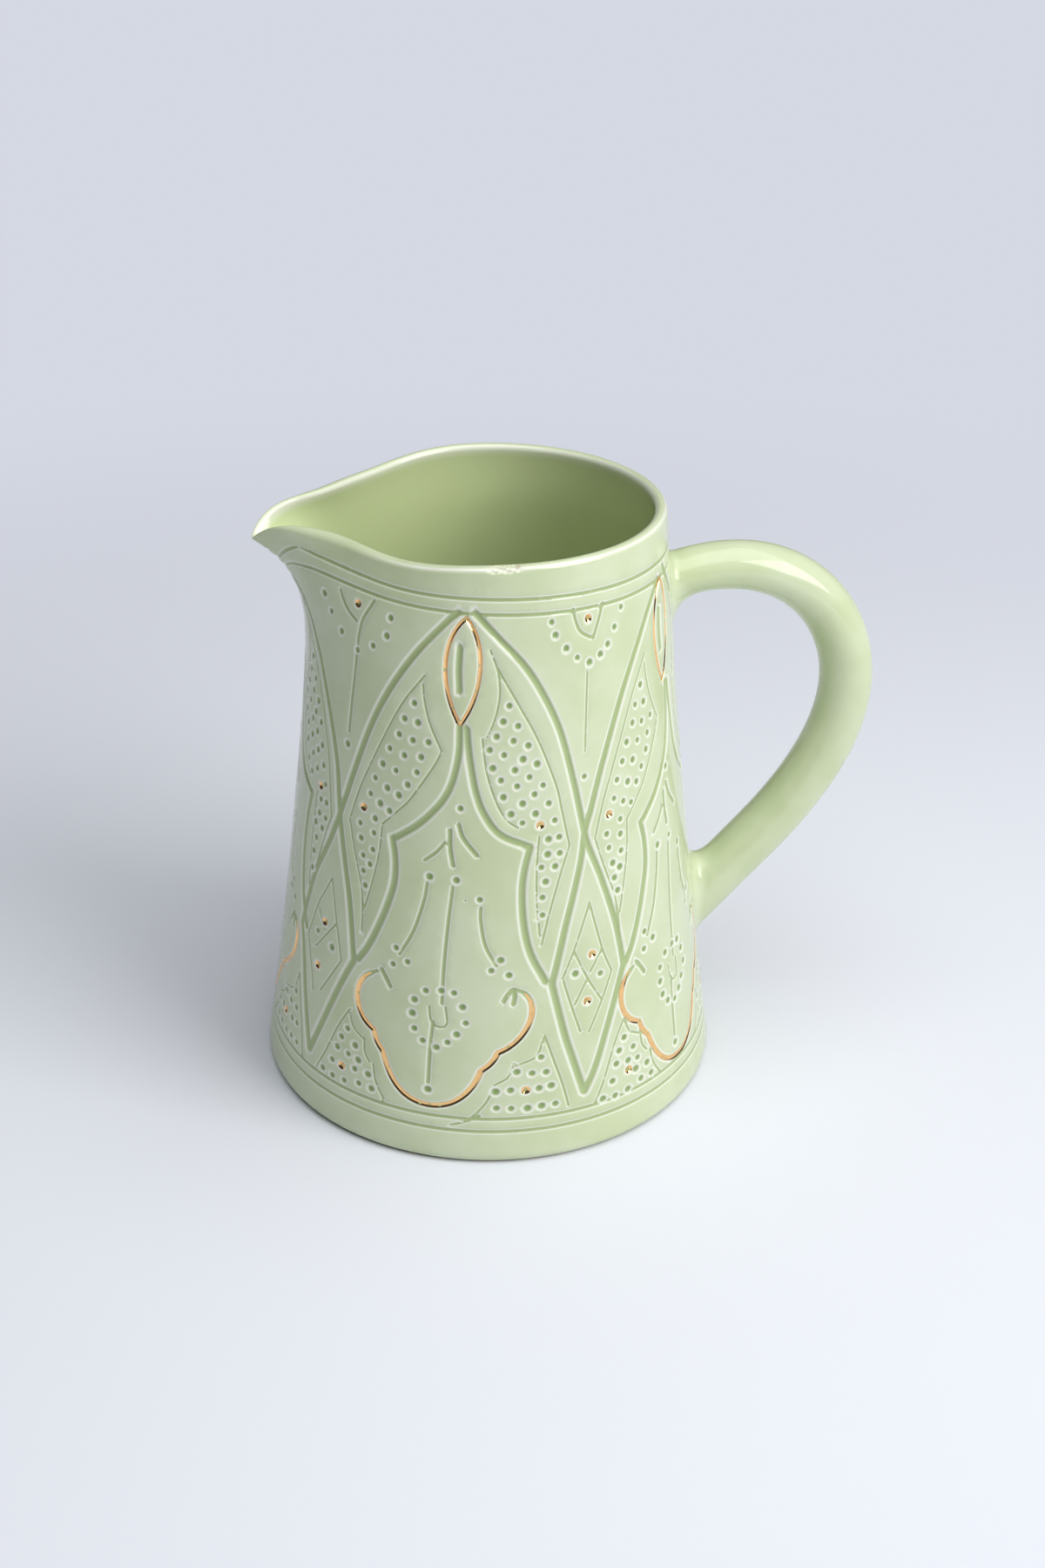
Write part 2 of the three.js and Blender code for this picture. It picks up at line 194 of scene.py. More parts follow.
# Fineness of the carved wall. Rings of points round a prick are (radius in half widths, count)
PRICK_RINGS = ((0.5, 6), (0.95, 10), (1.35, 12), (1.8, 11))
STROKE_STEP = 1.38
FILL_STEP = 3.2
FILL_ROW_RISE = 0.87
FILL_JITTER = 0.3
FILL_SEED = 7
SPOUT_FILL_STEP = 1.8
SPOUT_FILL_BOTTOM = 150
SPOUT_FILL_SIDE = 45
CLOSEST = 0.34
SAMPLE_STEP = 0.15
SEAM_MARGIN = 10
MERGED = 1e-6

# Fineness of the other meshes
RING_STEPS = 240
CROWDING = 0.5
BRUISE_STEPS = 30
BRUISE_REACH = 1.3
BRUISE_GAP = 0.3
BASE_STEPS = 8
HEEL_TOP = 6
LIP_BOTTOM = 196.4
LIP_STEPS = 21
INNER_ROWS = 38
INNER_CROWDING = 1.5
FLOOR_STEPS = 10
CURVE_STEPS = 24
HANDLE_STEPS = 160
HANDLE_PATH_STEP = 0.5
HANDLE_RINGS = 150
HANDLE_SIDES = 56
FILLET_SIDES = 96
FILLET_STEPS = 14
HALVINGS = 40
CREASE = 50

# Gold: how far its film stands off the cut wall and reaches into it
GOLD_FILM = 0.05
GOLD_BACK = 0.3
GOLD_HALF_WIDTHS = {"almond": 0.68, "scallop": 0.86}
GOLD_END_WIDTH = 0.35
GOLD_TAPER = 6
GOLD_STEP = 0.7
GOLD_ROWS = 9
DOT_RADII = (0.25, 0.5, 0.75, 1.0, 1.2, 1.35)
DOT_SIDES = 20

# Ornament. Points are (degrees across from the middle of a column or border, height).
GOLD_CURVES = {
    "almond": [
        [(0, 184.3), (-6.9, 178), (-6.9, 163), (0, 150.3)],
        [(0, 150.3), (6.4, 161), (6.4, 177), (0, 184.3)],
    ],
    "scallop": [
        [(-19, 61.5), (-24.5, 57), (-23, 45), (-16.2, 42)],
        [(-16.2, 42), (-15.8, 39.5), (-14.6, 37), (-13.2, 35.6)],
        [(-13.2, 35.6), (-10, 24.5), (-6, 20.2), (0, 20.2)],
        [(0, 20.2), (6, 20.2), (10, 26), (11.7, 34)],
        [(11.7, 34), (13.4, 35.4), (14.8, 37.6), (15.4, 40.3)],
        [(15.4, 40.3), (22, 43.5), (26, 55), (21.3, 60.5)],
    ],
}
GOLD_DOTS = {
    "panel_left": (-26.8, 117),
    "panel_right": (23.5, 117.3),
    "corner_left": (-24.5, 24.3),
    "corner_right": (22.7, 26.5),
    "fan": (36.5, 182),
    "lozenge_upper": (37.2, 70.5),
    "lozenge_lower": (36.2, 54.2),
}
# Dots left out of the column behind the handle
HANDLE_COLUMN = 1
UNDER_HANDLE = ("fan", "lozenge_upper", "lozenge_lower")

# How far the hand strays from the drawn place, by column and motif: gold, then what is only cut
GOLD_STRAYS = [
    {"lozenge_upper": (2.1, -0.5), "lozenge_lower": (1.8, 0), "fan": (0, -0.8)},
    {"almond": (-0.5, -1), "scallop": (-1.3, -2.4), "panel_left": (-0.7, -1.3), "corner_left": (3, 0)},
    {"scallop": (1.1, -0.6), "panel_right": (-1, 0.8)},
    {"almond": (0.6, 0.4), "corner_left": (-1, 0.5), "panel_left": (0.8, -0.6)},
    {"almond": (-3, 0), "scallop": (-1.6, 1), "panel_right": (2.8, -1.6), "corner_right": (-2, 0),
     "lozenge_upper": (-2, 0.5), "lozenge_lower": (-1.9, 0.1), "fan": (0.6, 0.8)},
]
CUT_STRAYS = [
    {},
    {"slot": (-0.5, -1), "ogee": (1.6, -1.6), "panel_left": (-0.7, -1.9), "panel_right": (3, 0),
     "medallion": (-2, -3), "corner_left": (1.4, -2)},
    {"medallion": (0.8, -0.6), "panel_right": (-0.8, 0.6)},
    {"slot": (0.6, 0.4), "panel_left": (0.6, -0.6), "corner_left": (-0.8, 0.4)},
    {"slot": (-3, 0), "panel_right": (0.8, -1), "medallion": (-0.8, 0.8), "corner_right": (-1, 0)},
]

# Strokes are (motif, cut, paths)
COLUMN_STROKES = [
    ("slot", "gouge", [[(-1.3, 175), (-1.3, 168), (-0.7, 161)]]),
    ("ogee", "gouge", [
        [(0, 150), (0.2, 141), (-1, 132), (-3, 126), (-6, 121), (-10, 115.8), (-15.5, 110.5)],
        [(2, 149.5), (2.8, 143), (4, 136), (5.5, 129), (8, 122), (12.5, 115.2), (20, 110.8)],
        [(-16.8, 110), (-15.3, 103), (-15, 95), (-16.3, 87), (-18.5, 78), (-21, 70), (-23.5, 64.5)],
        [(21, 110.5), (19.7, 103), (19.3, 95), (20.2, 84), (22.3, 74), (26.5, 63.8)],
    ]),
    ("panel_left", "scratch", [
        [(-11, 165), (-17, 155), (-22.3, 142), (-27.5, 127), (-29.5, 120), (-31.5, 111)],
        [(-31.5, 111), (-28.2, 100), (-25, 90), (-23.8, 82), (-23.3, 75)],
        [(-11.3, 162), (-10.5, 157), (-8.5, 150), (-4.5, 141.3)],
        [(-4.5, 141.3), (-6.5, 136), (-12.5, 124), (-16, 119), (-20.2, 113.5)],
        [(-20.2, 113.5), (-20.3, 104), (-21.3, 95), (-23.2, 83)],
    ]),
    ("panel_right", "scratch", [
        [(10, 168), (16, 157), (22, 145), (27.5, 130), (29.5, 121), (32, 109)],
        [(32, 109), (29.5, 99.5), (26.8, 87), (25.1, 77)],
        [(7.3, 174.5), (9.8, 167.5), (10.6, 160), (9.6, 152.5), (7.8, 147)],
        [(6.5, 146), (8.3, 135), (11.5, 125), (14.5, 119.5), (17.5, 117)],
        [(23.3, 113.5), (23, 103), (23.3, 92), (24.5, 80)],
    ]),
    ("medallion", "leaf", [[(-0.7, 116), (-0.3, 110), (0.8, 104)]]),
    ("medallion", "line", [[(-1.8, 111.5), (-4, 108), (-7, 104.7)]]),
    ("medallion", "leaf", [[(1.5, 118), (3, 113.5), (7, 107.8)]]),
    ("medallion", "line", [
        [(-5.7, 97.5), (-6.2, 91), (-8.3, 80), (-11.5, 71)],
        [(1.2, 97), (0.7, 85), (0.5, 70), (0.8, 56.5)],
        [(8.8, 90.5), (9, 86), (10.6, 77.5), (13.7, 70.7)],
    ]),
    ("medallion", "leaf", [
        [(-16, 64), (-14.5, 61.5), (-13, 58.7)],
        [(18.3, 62.3), (18.8, 60), (18.5, 57)],
        [(17.8, 62), (16.5, 59.5), (16, 58)],
    ]),
    ("medallion", "line", [[(-19, 61.5), (-17.2, 63)], [(18.3, 62.5), (21, 61)]]),
    ("medallion", "scratch", [[(-2.3, 55), (-1.5, 50), (0.5, 48.3), (2.5, 49.5), (1.8, 55.5)]]),
    ("medallion", "line", [[(-1, 50), (-1.1, 40), (-0.8, 28)]]),
    ("corner_left", "scratch", [
        [(-24.5, 45), (-27.5, 37), (-30.5, 26), (-33, 18.5)],
        [(-24, 44.5), (-22.4, 40), (-19.5, 37.7)],
        [(-18.7, 38), (-18.2, 33), (-16.5, 30)],
        [(-15.3, 29.5), (-14.2, 24), (-11.5, 18.5)],
    ]),
    ("corner_right", "scratch", [
        [(26.8, 45), (29, 37), (31.7, 27), (33.5, 18.5)],
        [(26.5, 44), (24.8, 38), (20, 35.5)],
        [(19.5, 36.5), (18.4, 31.7), (15, 28.8)],
        [(14.8, 27.5), (13.3, 22.4), (10.2, 17)],
    ]),
]
COLUMN_PRICKS = {
    "panel_left": [
        (-13.5, 155.6), (-16.1, 150), (-12, 149.5), (-17.4, 144.5), (-13.1, 143.5), (-8.5, 143.7),
        (-20, 139.1), (-15.3, 138), (-10.3, 138.5), (-21.8, 133.4), (-17.5, 132.4), (-11.2, 133.3),
        (-23.9, 128), (-19.7, 125.9), (-13.6, 128.6), (-25, 122.2), (-21.5, 120.1), (-16, 124.5),
        (-18.4, 118.5), (-22.7, 114.5), (-27.6, 111.2), (-22.7, 109.5), (-26.8, 106.3), (-22.5, 103.8),
        (-25.5, 100.7), (-23, 98.5), (-24.9, 95.5), (-23.8, 90.8),
    ],
    "panel_right": [
        (13.4, 156.8), (11.9, 151.8), (16.1, 150.2), (10.3, 147), (15, 145.5), (19.2, 143.7),
        (8.6, 142.7), (12.6, 141), (17.9, 139.4), (21.9, 137.5), (9.7, 136.8), (15.8, 136), (12.1, 132.8),
        (19.9, 133.4), (16.6, 130.7), (23.8, 130.3), (13, 127.3), (21.5, 127.6), (18.3, 124.9),
        (25.6, 124.1), (15.3, 121.6), (22, 121.2), (18.5, 118.5), (27.5, 118.2), (25.9, 112.2),
        (28.9, 112.4), (25.8, 107.2), (29.2, 107), (24.2, 103.1), (28, 102.8), (25.5, 98.1), (24.8, 92.9),
        (25, 86.9),
    ],
    "medallion": [
        (1.7, 123.3), (-5.2, 99.5), (2, 99.3), (8.4, 93.2), (-12.6, 72.9), (-9.1, 69), (-13, 67),
        (14.7, 72.6), (12.5, 69), (17, 67.3), (0.4, 61), (3.6, 60.7), (6, 56), (7.1, 50.5), (5.1, 46.3),
        (3, 43.2), (0.4, 41), (-3.2, 42.7), (-5.6, 46.4), (-6.5, 51.6), (-6.3, 56.5), (-3.6, 60.3),
        (-0.7, 25.7),
    ],
    "corner_left": [
        (-24.2, 38.5), (-25.8, 34.5), (-21.2, 33.7), (-26.7, 30.2), (-23, 29.6), (-19.8, 29),
        (-27.9, 24.6), (-20.5, 25.3), (-16.5, 25.3), (-30.7, 19.5), (-27.1, 19), (-23.2, 19.4),
        (-18.8, 20.8), (-15.1, 20.7),
    ],
    "corner_right": [
        (26.1, 37.6), (20.3, 33.2), (24, 32.3), (27.5, 32.1), (15.5, 26.5), (19, 26.8), (25.9, 26.7),
        (28.9, 27), (15.9, 20.6), (19.4, 20.3), (23.3, 20), (26.7, 20.3), (30.1, 20.3),
    ],
}

# Borders between columns: a lattice across them, a fan above and a lozenge below
BORDER_STROKES = [
    ("lattice", "gouge", [
        [(-33.5, 186), (-26, 177.5), (-19, 169.5), (-13, 159.5), (-7.5, 146.5), (-3, 129), (0.5, 112),
         (2.5, 105), (6, 95), (10, 81), (12, 71), (13.3, 62.5)],
        [(13.3, 62.5), (8, 43), (4.5, 30), (1.5, 22)],
        [(33.5, 183.5), (26, 175.5), (18, 163), (12, 150.5), (6, 133), (2.3, 119), (0.5, 112),
         (-0.5, 103), (-2.5, 92), (-4.5, 82), (-6, 73), (-7.8, 62.5)],
        [(-7.8, 62.5), (-4, 44), (-2, 36), (1.5, 22)],
    ]),
    ("fan", "line", [
        [(-4.7, 185), (-3.7, 181), (-2, 177.5), (1.5, 175)],
        [(5.5, 184.8), (4.5, 181), (2.3, 174.5)],
    ]),
    ("fan", "scratch", [[(0.5, 165.5), (0.3, 150), (0.2, 139)]]),
    ("lozenge", "scratch", [
        [(2.3, 88), (-2, 73), (-5, 64)],
        [(-5, 64), (-2.5, 54), (0.2, 44)],
        [(-2, 72.5), (2, 62), (6, 53.5)],
        [(6.3, 71), (2.7, 64)],
        [(1.5, 61), (-1.5, 54)],
        [(2.3, 88), (6.3, 71), (9.3, 62)],
        [(9.3, 62), (6.3, 53), (2.5, 43)],
    ]),
]
BORDER_PRICKS = {
    "fan": [(-11.3, 182), (-10, 177.8), (-6.5, 173.1), (-2.9, 169.5), (1.2, 167.2), (5, 168.8),
            (7.7, 171.3), (10.3, 176), (13, 181.5), (0.1, 130.7)],
    "lozenge": [(-1.5, 64.7), (5.8, 62.4)],
}
# The border left of the front column, drawn more loosely
LOOSE_STROKES = [
    ("lattice", "gouge", [
        [(33.5, 186), (30, 182.5), (22, 172), (15, 159.5), (9.5, 146), (5, 130), (1, 113.5), (-2.5, 101),
         (-5, 94), (-8, 86), (-10, 77), (-12.3, 63.5)],
        [(-12.3, 63.5), (-10, 57), (-6, 41), (-0.8, 22)],
        [(-33.5, 183), (-24, 171), (-19, 163), (-15, 156), (-8, 141), (-3, 127), (0, 112), (3, 100),
         (7, 85), (9, 75), (11.1, 63)],
        [(11.1, 63), (9, 57), (6, 47), (-0.8, 22)],
    ]),
    ("fan", "line", [
        [(-6, 185), (-4.5, 182), (-2, 179), (1, 177)],
        [(6.7, 185.5), (5, 182), (3.2, 178), (2.3, 173), (2, 168)],
        [(2, 168), (1.7, 160), (1.2, 150), (1, 139.5)],
    ]),
    ("lozenge", "scratch", [
        [(0, 87.5), (2.5, 78), (3.8, 73), (7, 61)],
        [(7, 61), (4, 54), (0.5, 46)],
        [(0, 87.5), (-3, 80), (-5, 75), (-8, 62)],
        [(-8, 62), (-4, 50), (-2.5, 44)],
        [(3.8, 73), (-3.5, 60.5)],
        [(-4, 74), (-1, 68)],
    ]),
]
LOOSE_PRICKS = {
    "fan": [(2.1, 167.5), (-4.8, 171.5), (7.7, 170.8), (12.1, 175.2), (12.8, 181.3), (-9.5, 176.5),
            (-12.5, 181.5), (0.9, 135.4)],
    "lozenge": [(-3.6, 66), (3, 63.7)],
}
# The border after each column, and how far the hand strays there
BORDERS = 4 * [(BORDER_STROKES, BORDER_PRICKS)] + [(LOOSE_STROKES, LOOSE_PRICKS)]
BORDER_STRAYS = [{}] + 3 * [{"lozenge": (-2, 0.4), "fan": (0, 0.8)}] + [{}]

# Rings above and below the field, as (degrees from the spout, height). The first one's ends miss.
RINGS = [
    [(14, 194), (20, 193), (32, 192.3), (60, 191), (90, 189.9), (135, 188.7), (180, 188.3), (225, 188.8),
     (270, 189.9), (315, 190.6), (350, 189.8), (360, 189.4), (365, 190), (374.5, 195)],
    [(0, 185.8), (4, 186), (12, 187.4), (22, 188.1), (60, 186.5), (85, 185.3), (130, 183.9), (180, 183),
     (225, 183.6), (270, 185), (315, 186.2), (360, 185.8)],
    [(0, 17), (90, 16.6), (180, 16), (270, 16.5), (360, 17)],
    [(0, 12.6), (90, 12.1), (180, 11.7), (270, 12.1), (360, 12.6)],
]
# A pit and a slip of the tool in the front column
FRONT_PIT = (4.7, 92.7)
FRONT_SLIP = [(5.5, 14), (9.5, 15.8), (12, 18)]


def smoothstep(value, low, high):
    t = np.clip((value - low) / (high - low), 0, 1)
    return t * t * (3 - 2 * t)


def towards_rim(z, band):
    """A rise from 0 to 1 over a band of heights, given as depths below the rim."""
    return smoothstep(z, HEIGHT - band[0], HEIGHT - band[1])


def mix(a, b, share):
    return a + (b - a) * share


def unit(vectors):
    return vectors / np.linalg.norm(vectors, axis=-1, keepdims=True)


def turns(count):
    """Angles round a circle, in radians."""
    return np.linspace(0, 2 * np.pi, count, endpoint=False)


def circle(turn):
    return np.stack([np.cos(turn), np.sin(turn)], axis=-1)


# Body surface

def wall_radius(z):
    """Outer radius of the thrown wall: a curve through the base, the middle and the rim."""
    t = z / HEIGHT
    base = BASE_RADIUS * (1 - t) * (1 - 2 * t)
    middle = MID_RADIUS * 4 * t * (1 - t)
    rim = RIM_RADIUS * t * (2 * t - 1)
    return base + middle + rim


def from_spout(azimuth):
    return (azimuth - SPOUT_AZIMUTH + 180) % 360 - 180


def pulled(radius, azimuth, z, depth):
    """Points of the wall with the spout's pull in them, at a depth of 0 outside to 1 inside."""
    angle = np.abs(from_spout(azimuth))
    below = np.maximum(HEIGHT - z, 0)
    fade = np.exp(-((below / SPOUT_DEPTH) ** SPOUT_FADE_POWER))
    spread = mix(SPOUT_ANGLE, SPOUT_BORE_ANGLE, depth) + SPOUT_FLARE * below
    beak = np.exp(-((angle / spread) ** SPOUT_BEAK_POWER))
    reach = SPOUT_REACH + depth * (WALL - SPOUT_LIP)
    pinch = np.exp(-(((angle - PINCH_ANGLE) / PINCH_SPREAD) ** 2))
    droop = np.exp(-((angle / SPOUT_DROP_ANGLE) ** SPOUT_DROP_POWER) - below / SPOUT_DEPTH)
    flare = LIP_FLARE * depth * np.exp(-((below / LIP_FLARE_DEPTH) ** 2))
    out = radius + fade * (reach * beak - PINCH * pinch) + flare * beak
    down = SPOUT_DROP * droop + PINCH_DROP * pinch * fade
    turn = np.radians(azimuth)
    return np.stack([out * np.cos(turn), out * np.sin(turn), z - down], axis=-1)


def on_wall(azimuth, z):
    """Points of the outer wall and the normals there."""
    step = 0.25

    def at(a, h):
        return pulled(wall_radius(h), a, h, 0)

    across = at(azimuth + step, z) - at(azimuth - step, z)
    up = at(azimuth, z + step) - at(azimuth, z - step)
    return at(azimuth, z), unit(np.cross(across, up))


def lip_thin_and_highlight(azimuth, z, depth):
    """How far the glaze has run thin on the lip, with a painted highlight along its edges."""
    outer = np.exp(-(((depth - LINE_PLACE) / LINE_SPREAD) ** 2)) * towards_rim(z, LINE_BAND)
    inner = smoothstep(depth, *INNER_PLACE) * towards_rim(z, INNER_BAND)
    return outer * smoothstep(np.abs(from_spout(azimuth)), *LINE_FADES) + INNER_STRENGTH * inner


def bruise(azimuth, z, depth):
    """How far the edge of the lip is knocked in where it is bruised."""
    along = (azimuth - BRUISE_AZIMUTH + 180) % 360 - 180
    ragged = RAGGED
    for size, along_lip, over_lip, start in RAGGED_WAVES:
        ragged = ragged + size * np.sin(along_lip * along + over_lip * depth + start)
    on_edge = towards_rim(z, BRUISE_BAND) * (1 - smoothstep(depth, *BRUISE_ENDS))
    return BRUISE_DEPTH * np.exp(-((along / BRUISE_SPREAD) ** BRUISE_POWER)) * ragged * on_edge


# Drawing on the wall

def ornament(start, points, strays, motif, unbroken=False):
    """A motif's points on the flat wall. An unbroken path runs on where it crosses the back."""
    across, up = np.array(points, float).T
    stray = strays.get(motif, (0, 0))
    turn = start + across + stray[0]
    z = up + stray[1]
    uneven = HAND_SPACING * np.sin(np.radians(turn))
    lean = HAND_LEAN * (FIELD_TOP - z) / (FIELD_TOP - FIELD_BOTTOM)
    angle = from_spout(FRONT_AZIMUTH + turn + uneven - lean)
    if unbroken:
        angle = np.degrees(np.unwrap(np.radians(angle)))
    return np.stack([angle * ARC, z], axis=-1)


def unflat(points):
    return SPOUT_AZIMUTH + points[:, 0] / ARC, points[:, 1]


def wrapped(x):
    """Distances along the flat wall, within half a turn of the spout."""
    return (x + HALF_AROUND) % (2 * HALF_AROUND) - HALF_AROUND


def through(points):
    """A smooth curve through points."""
    p = np.asarray(points, float)
    p = np.vstack([2 * p[0] - p[1], p, 2 * p[-1] - p[-2]])
    t = np.linspace(0, 1, CURVE_STEPS, endpoint=False)[:, None]
    spans = []
    for a, b, c, d in zip(p[:-3], p[1:-2], p[2:-1], p[3:]):
        spans.append(0.5 * (2 * b + (c - a) * t + (2 * a - 5 * b + 4 * c - d) * t**2
                            + (3 * b - a - 3 * c + d) * t**3))
    return np.vstack(spans + [p[-2:-1]])


def bezier(points, steps=CURVE_STEPS):
    a, b, c, d = np.asarray(points, float)
    t = np.linspace(0, 1, steps, endpoint=False)[:, None]
    return a * (1 - t)**3 + 3 * b * t * (1 - t)**2 + 3 * c * t**2 * (1 - t) + d * t**3


def evenly(path, step):
    """Points about a step apart along a flat path."""
    lengths = np.r_[0, np.cumsum(np.linalg.norm(np.diff(path, axis=0), axis=1))]
    count = max(2, round(lengths[-1] / step) + 1)
    at = np.linspace(0, lengths[-1], count)
    return np.stack([np.interp(at, lengths, v) for v in path.T], axis=-1)


def sideways(along):
    """Unit vectors to the left of directions on the flat wall."""
    along = unit(along)
    return np.c_[-along[:, 1], along[:, 0]]


def off_patches(points, patches):
    """Which points of the flat wall lie clear of patches at the handle."""
    azimuth, z = unflat(points)
    y = wall_radius(z) * np.sin(np.radians(azimuth))
    clear = True
    for height, half_width, half_height in patches:
        under = np.hypot(y / half_width, (z - height) / half_height) < 1
        clear = clear & ~(under & (np.cos(np.radians(azimuth)) > 0))
    return clear


def clear_runs(path):
    """The runs of a path that lie clear of the handle's joints."""
    clear = off_patches(path, JOINT_PATCHES)
    if clear.all():
        return [path]
    ends = np.flatnonzero(np.diff(clear)) + 1
    runs = zip(np.split(path, ends), np.split(clear, ends))
    return [run for run, kept in runs if kept[0] and math.dist(run[0], run[-1]) > SHORTEST_RUN]


def gold_drawing(column):
    """The gold lines and dots of a column on the flat wall, by motif and by place."""
    start, strays = column * COLUMN_WIDTH, GOLD_STRAYS[column]
    paths, spots = {}, {}
    for motif, curves in GOLD_CURVES.items():
        points = np.vstack([bezier(c) for c in curves] + [curves[-1][-1:]])
        paths[motif] = ornament(start, points, strays, motif, unbroken=True)
    for place, spot in GOLD_DOTS.items():
        if column != HANDLE_COLUMN or place not in UNDER_HANDLE:
            spots[place] = ornament(start, spot, strays, place)
    return paths, spots


def drawn_paths():
    """Every cut stroke as (cut, path on the flat wall) and every prick as (cut, point)."""
    strokes, pricks = [], []
    for column in range(COLUMNS):
        middle = column * COLUMN_WIDTH
        sets = [
            (middle, COLUMN_STROKES, COLUMN_PRICKS, CUT_STRAYS[column]),
            (middle + COLUMN_WIDTH / 2, *BORDERS[column], BORDER_STRAYS[column]),
        ]
        for start, stroke_set, prick_set, strays in sets:
            for motif, cut, paths in stroke_set:
                for points in paths:
                    path = ornament(start, points, strays, motif, unbroken=True)
                    strokes += [(cut, run) for run in clear_runs(through(path))]
            for motif, points in prick_set.items():
                spots = ornament(start, points, strays, motif)
                pricks += [("prick", spot) for spot in spots[off_patches(spots, PRICK_PATCHES)]]
        gold_paths, gold_spots = gold_drawing(column)
        strokes += gold_paths.items()
        pricks += [("gold_prick", spot) for spot in gold_spots.values()]
    for points in RINGS:
        strokes += [("line", run) for run in clear_runs(through(np.array(points) * [ARC, 1]))]
    strokes.append(("scratch", through(ornament(0, FRONT_SLIP, {}, "slip", unbroken=True))))
    pricks.append(("pit", ornament(0, FRONT_PIT, {}, "pit")))
    return strokes, pricks


# Carving

class Carving:
    """How far any point of the flat wall is from the cuts, and how deep it is cut there."""

    def __init__(self, strokes, pricks):
        self.trees = {}
        self.widths = {}
        rng = random.Random(PRICK_SEED)
        samples = {cut: [] for cut in CUTS}
        for cut, path in strokes:
            samples[cut].append(evenly(path, SAMPLE_STEP))
        for cut, point in pricks:
            samples[cut].append(np.array([point]))
        for cut, parts in samples.items():
            points = np.vstack(parts)
            points[:, 0] = wrapped(points[:, 0])
            at_seam = points[np.abs(points[:, 0]) > HALF_AROUND - SEAM_MARGIN]
            copies = at_seam - np.sign(at_seam[:, :1]) * [[2 * HALF_AROUND, 0]]
            points = np.vstack([points, copies])
            tree = kdtree.KDTree(len(points))
            for i, (x, z) in enumerate(points):
                tree.insert((x, z, 0), i)
            tree.balance()
            self.trees[cut] = tree
            self.widths[cut] = [rng.uniform(*PRICK_SIZES) if cut == "prick" else 1 for _ in points]

    def distance(self, cut, points):
        """Distance to the nearest cut of one kind, in half widths of that cut."""
        find = self.trees[cut].find
        found = [find((x, z, 0)) for x, z in points]
        near = np.array([f[2] / self.widths[cut][f[1]] for f in found]) / CUTS[cut][0]
        return np.minimum(near, FAR)

    def at(self, points):
        """(depth, distance to a stroke, distance to a prick) for flat points."""
        depth = burr = 0
        stroke = prick = FAR
        for cut, (_, deep, rows) in CUTS.items():
            near = self.distance(cut, points)
            depth = np.maximum(depth, deep * np.exp(-((near / GROOVE) ** GROOVE_POWER)))
            raised = np.exp(-(((near - BURR_PLACE) / BURR_SPREAD) ** 2))
            burr = np.maximum(burr, BURR * deep * raised)
            if rows:
                stroke = np.minimum(stroke, near)
            else:
                prick = np.minimum(prick, near)
        uncut = smoothstep(np.minimum(stroke, prick), *UNCUT)
        return depth - burr * uncut, stroke, prick


def cut_points(strokes, pricks, rng):
    """Points at the cuts: rings round every prick and rows along every stroke."""
    for cut, point in pricks:
        half = CUTS[cut][0]
        yield np.array([point])
        for radius, count in PRICK_RINGS:
            yield point + radius * half * circle(turns(count) + rng.random())
    for cut, path in strokes:
        half, _, rows = CUTS[cut]
        points = evenly(path, STROKE_STEP)
        normal = sideways(np.gradient(points, axis=0))
        yield points
        for row in rows:
            yield points + normal * row * half
            yield points - normal * row * half


def fill_points(rng):
    """Points between the cuts: staggered rows, and closer ones round the spout."""
    def jitter():
        return rng.uniform(-FILL_JITTER, FILL_JITTER)

    fill = []
    for j, z in enumerate(np.arange(CARVED_BOTTOM, CARVED_TOP, FILL_STEP * FILL_ROW_RISE)):
        for x in np.arange(-HALF_AROUND, HALF_AROUND, FILL_STEP):
            fill.append((x + (j % 2) * FILL_STEP / 2 + jitter(), z + jitter()))
    for z in np.arange(SPOUT_FILL_BOTTOM, CARVED_TOP, SPOUT_FILL_STEP):
        for x in np.arange(-SPOUT_FILL_SIDE, SPOUT_FILL_SIDE, SPOUT_FILL_STEP):
            fill.append((x + jitter(), z + jitter()))
    return np.array(fill)


def thinned(groups):
    """Joins groups of points, leaving out those too close to an earlier one."""
    cells, kept = {}, []
    for group in groups:
        for x, z in group:
            i, j = math.floor(x / CLOSEST), math.floor(z / CLOSEST)
            near = (cells.get((i + a, j + b)) for a in (-1, 0, 1) for b in (-1, 0, 1))
            if any(n is not None and math.hypot(n[0] - x, n[1] - z) < CLOSEST for n in near):
                continue
            cells[i, j] = (x, z)
            kept.append((x, z))
    return np.array(kept)


def wall_points(strokes, pricks, angles):
    """Points for the carved wall, those of its edges and seam first, and how many those are."""
    rise = np.arange(CARVED_BOTTOM, CARVED_TOP, FILL_STEP / 2)[1:]
    border = [np.c_[angles * ARC, np.full(len(angles), z)] for z in (CARVED_BOTTOM, CARVED_TOP)]
    border += [np.c_[np.full(len(rise), x), rise] for x in (-HALF_AROUND, HALF_AROUND)]
    rng = random.Random(FILL_SEED)
    groups = [np.c_[wrapped(g[:, 0]), g[:, 1]] for g in cut_points(strokes, pricks, rng)]
    groups.append(fill_points(rng))
    inner = []
    for group in groups:
        x, z = group.T
        above, below = z > CARVED_BOTTOM + CLOSEST, z < CARVED_TOP - CLOSEST
        inner.append(group[(np.abs(x) < HALF_AROUND - CLOSEST) & above & below])
    return thinned(border + inner), sum(len(g) for g in border)


# Meshes

def in_scene(name, data):
    obj = bpy.data.objects.new(name, data)
    scene.collection.objects.link(obj)
    return obj


def make_object(name, points, faces, material, crease=None):
    mesh = bpy.data.meshes.new(name)
    mesh.from_pydata((np.asarray(points) * MM).tolist(), [], faces)
    mesh.validate()
    mesh.shade_smooth()
    if crease:
        mesh.set_sharp_from_angle(angle=math.radians(crease))
    mesh.materials.append(material)
    obj = in_scene(name, mesh)
    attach(obj, "root")
    return obj


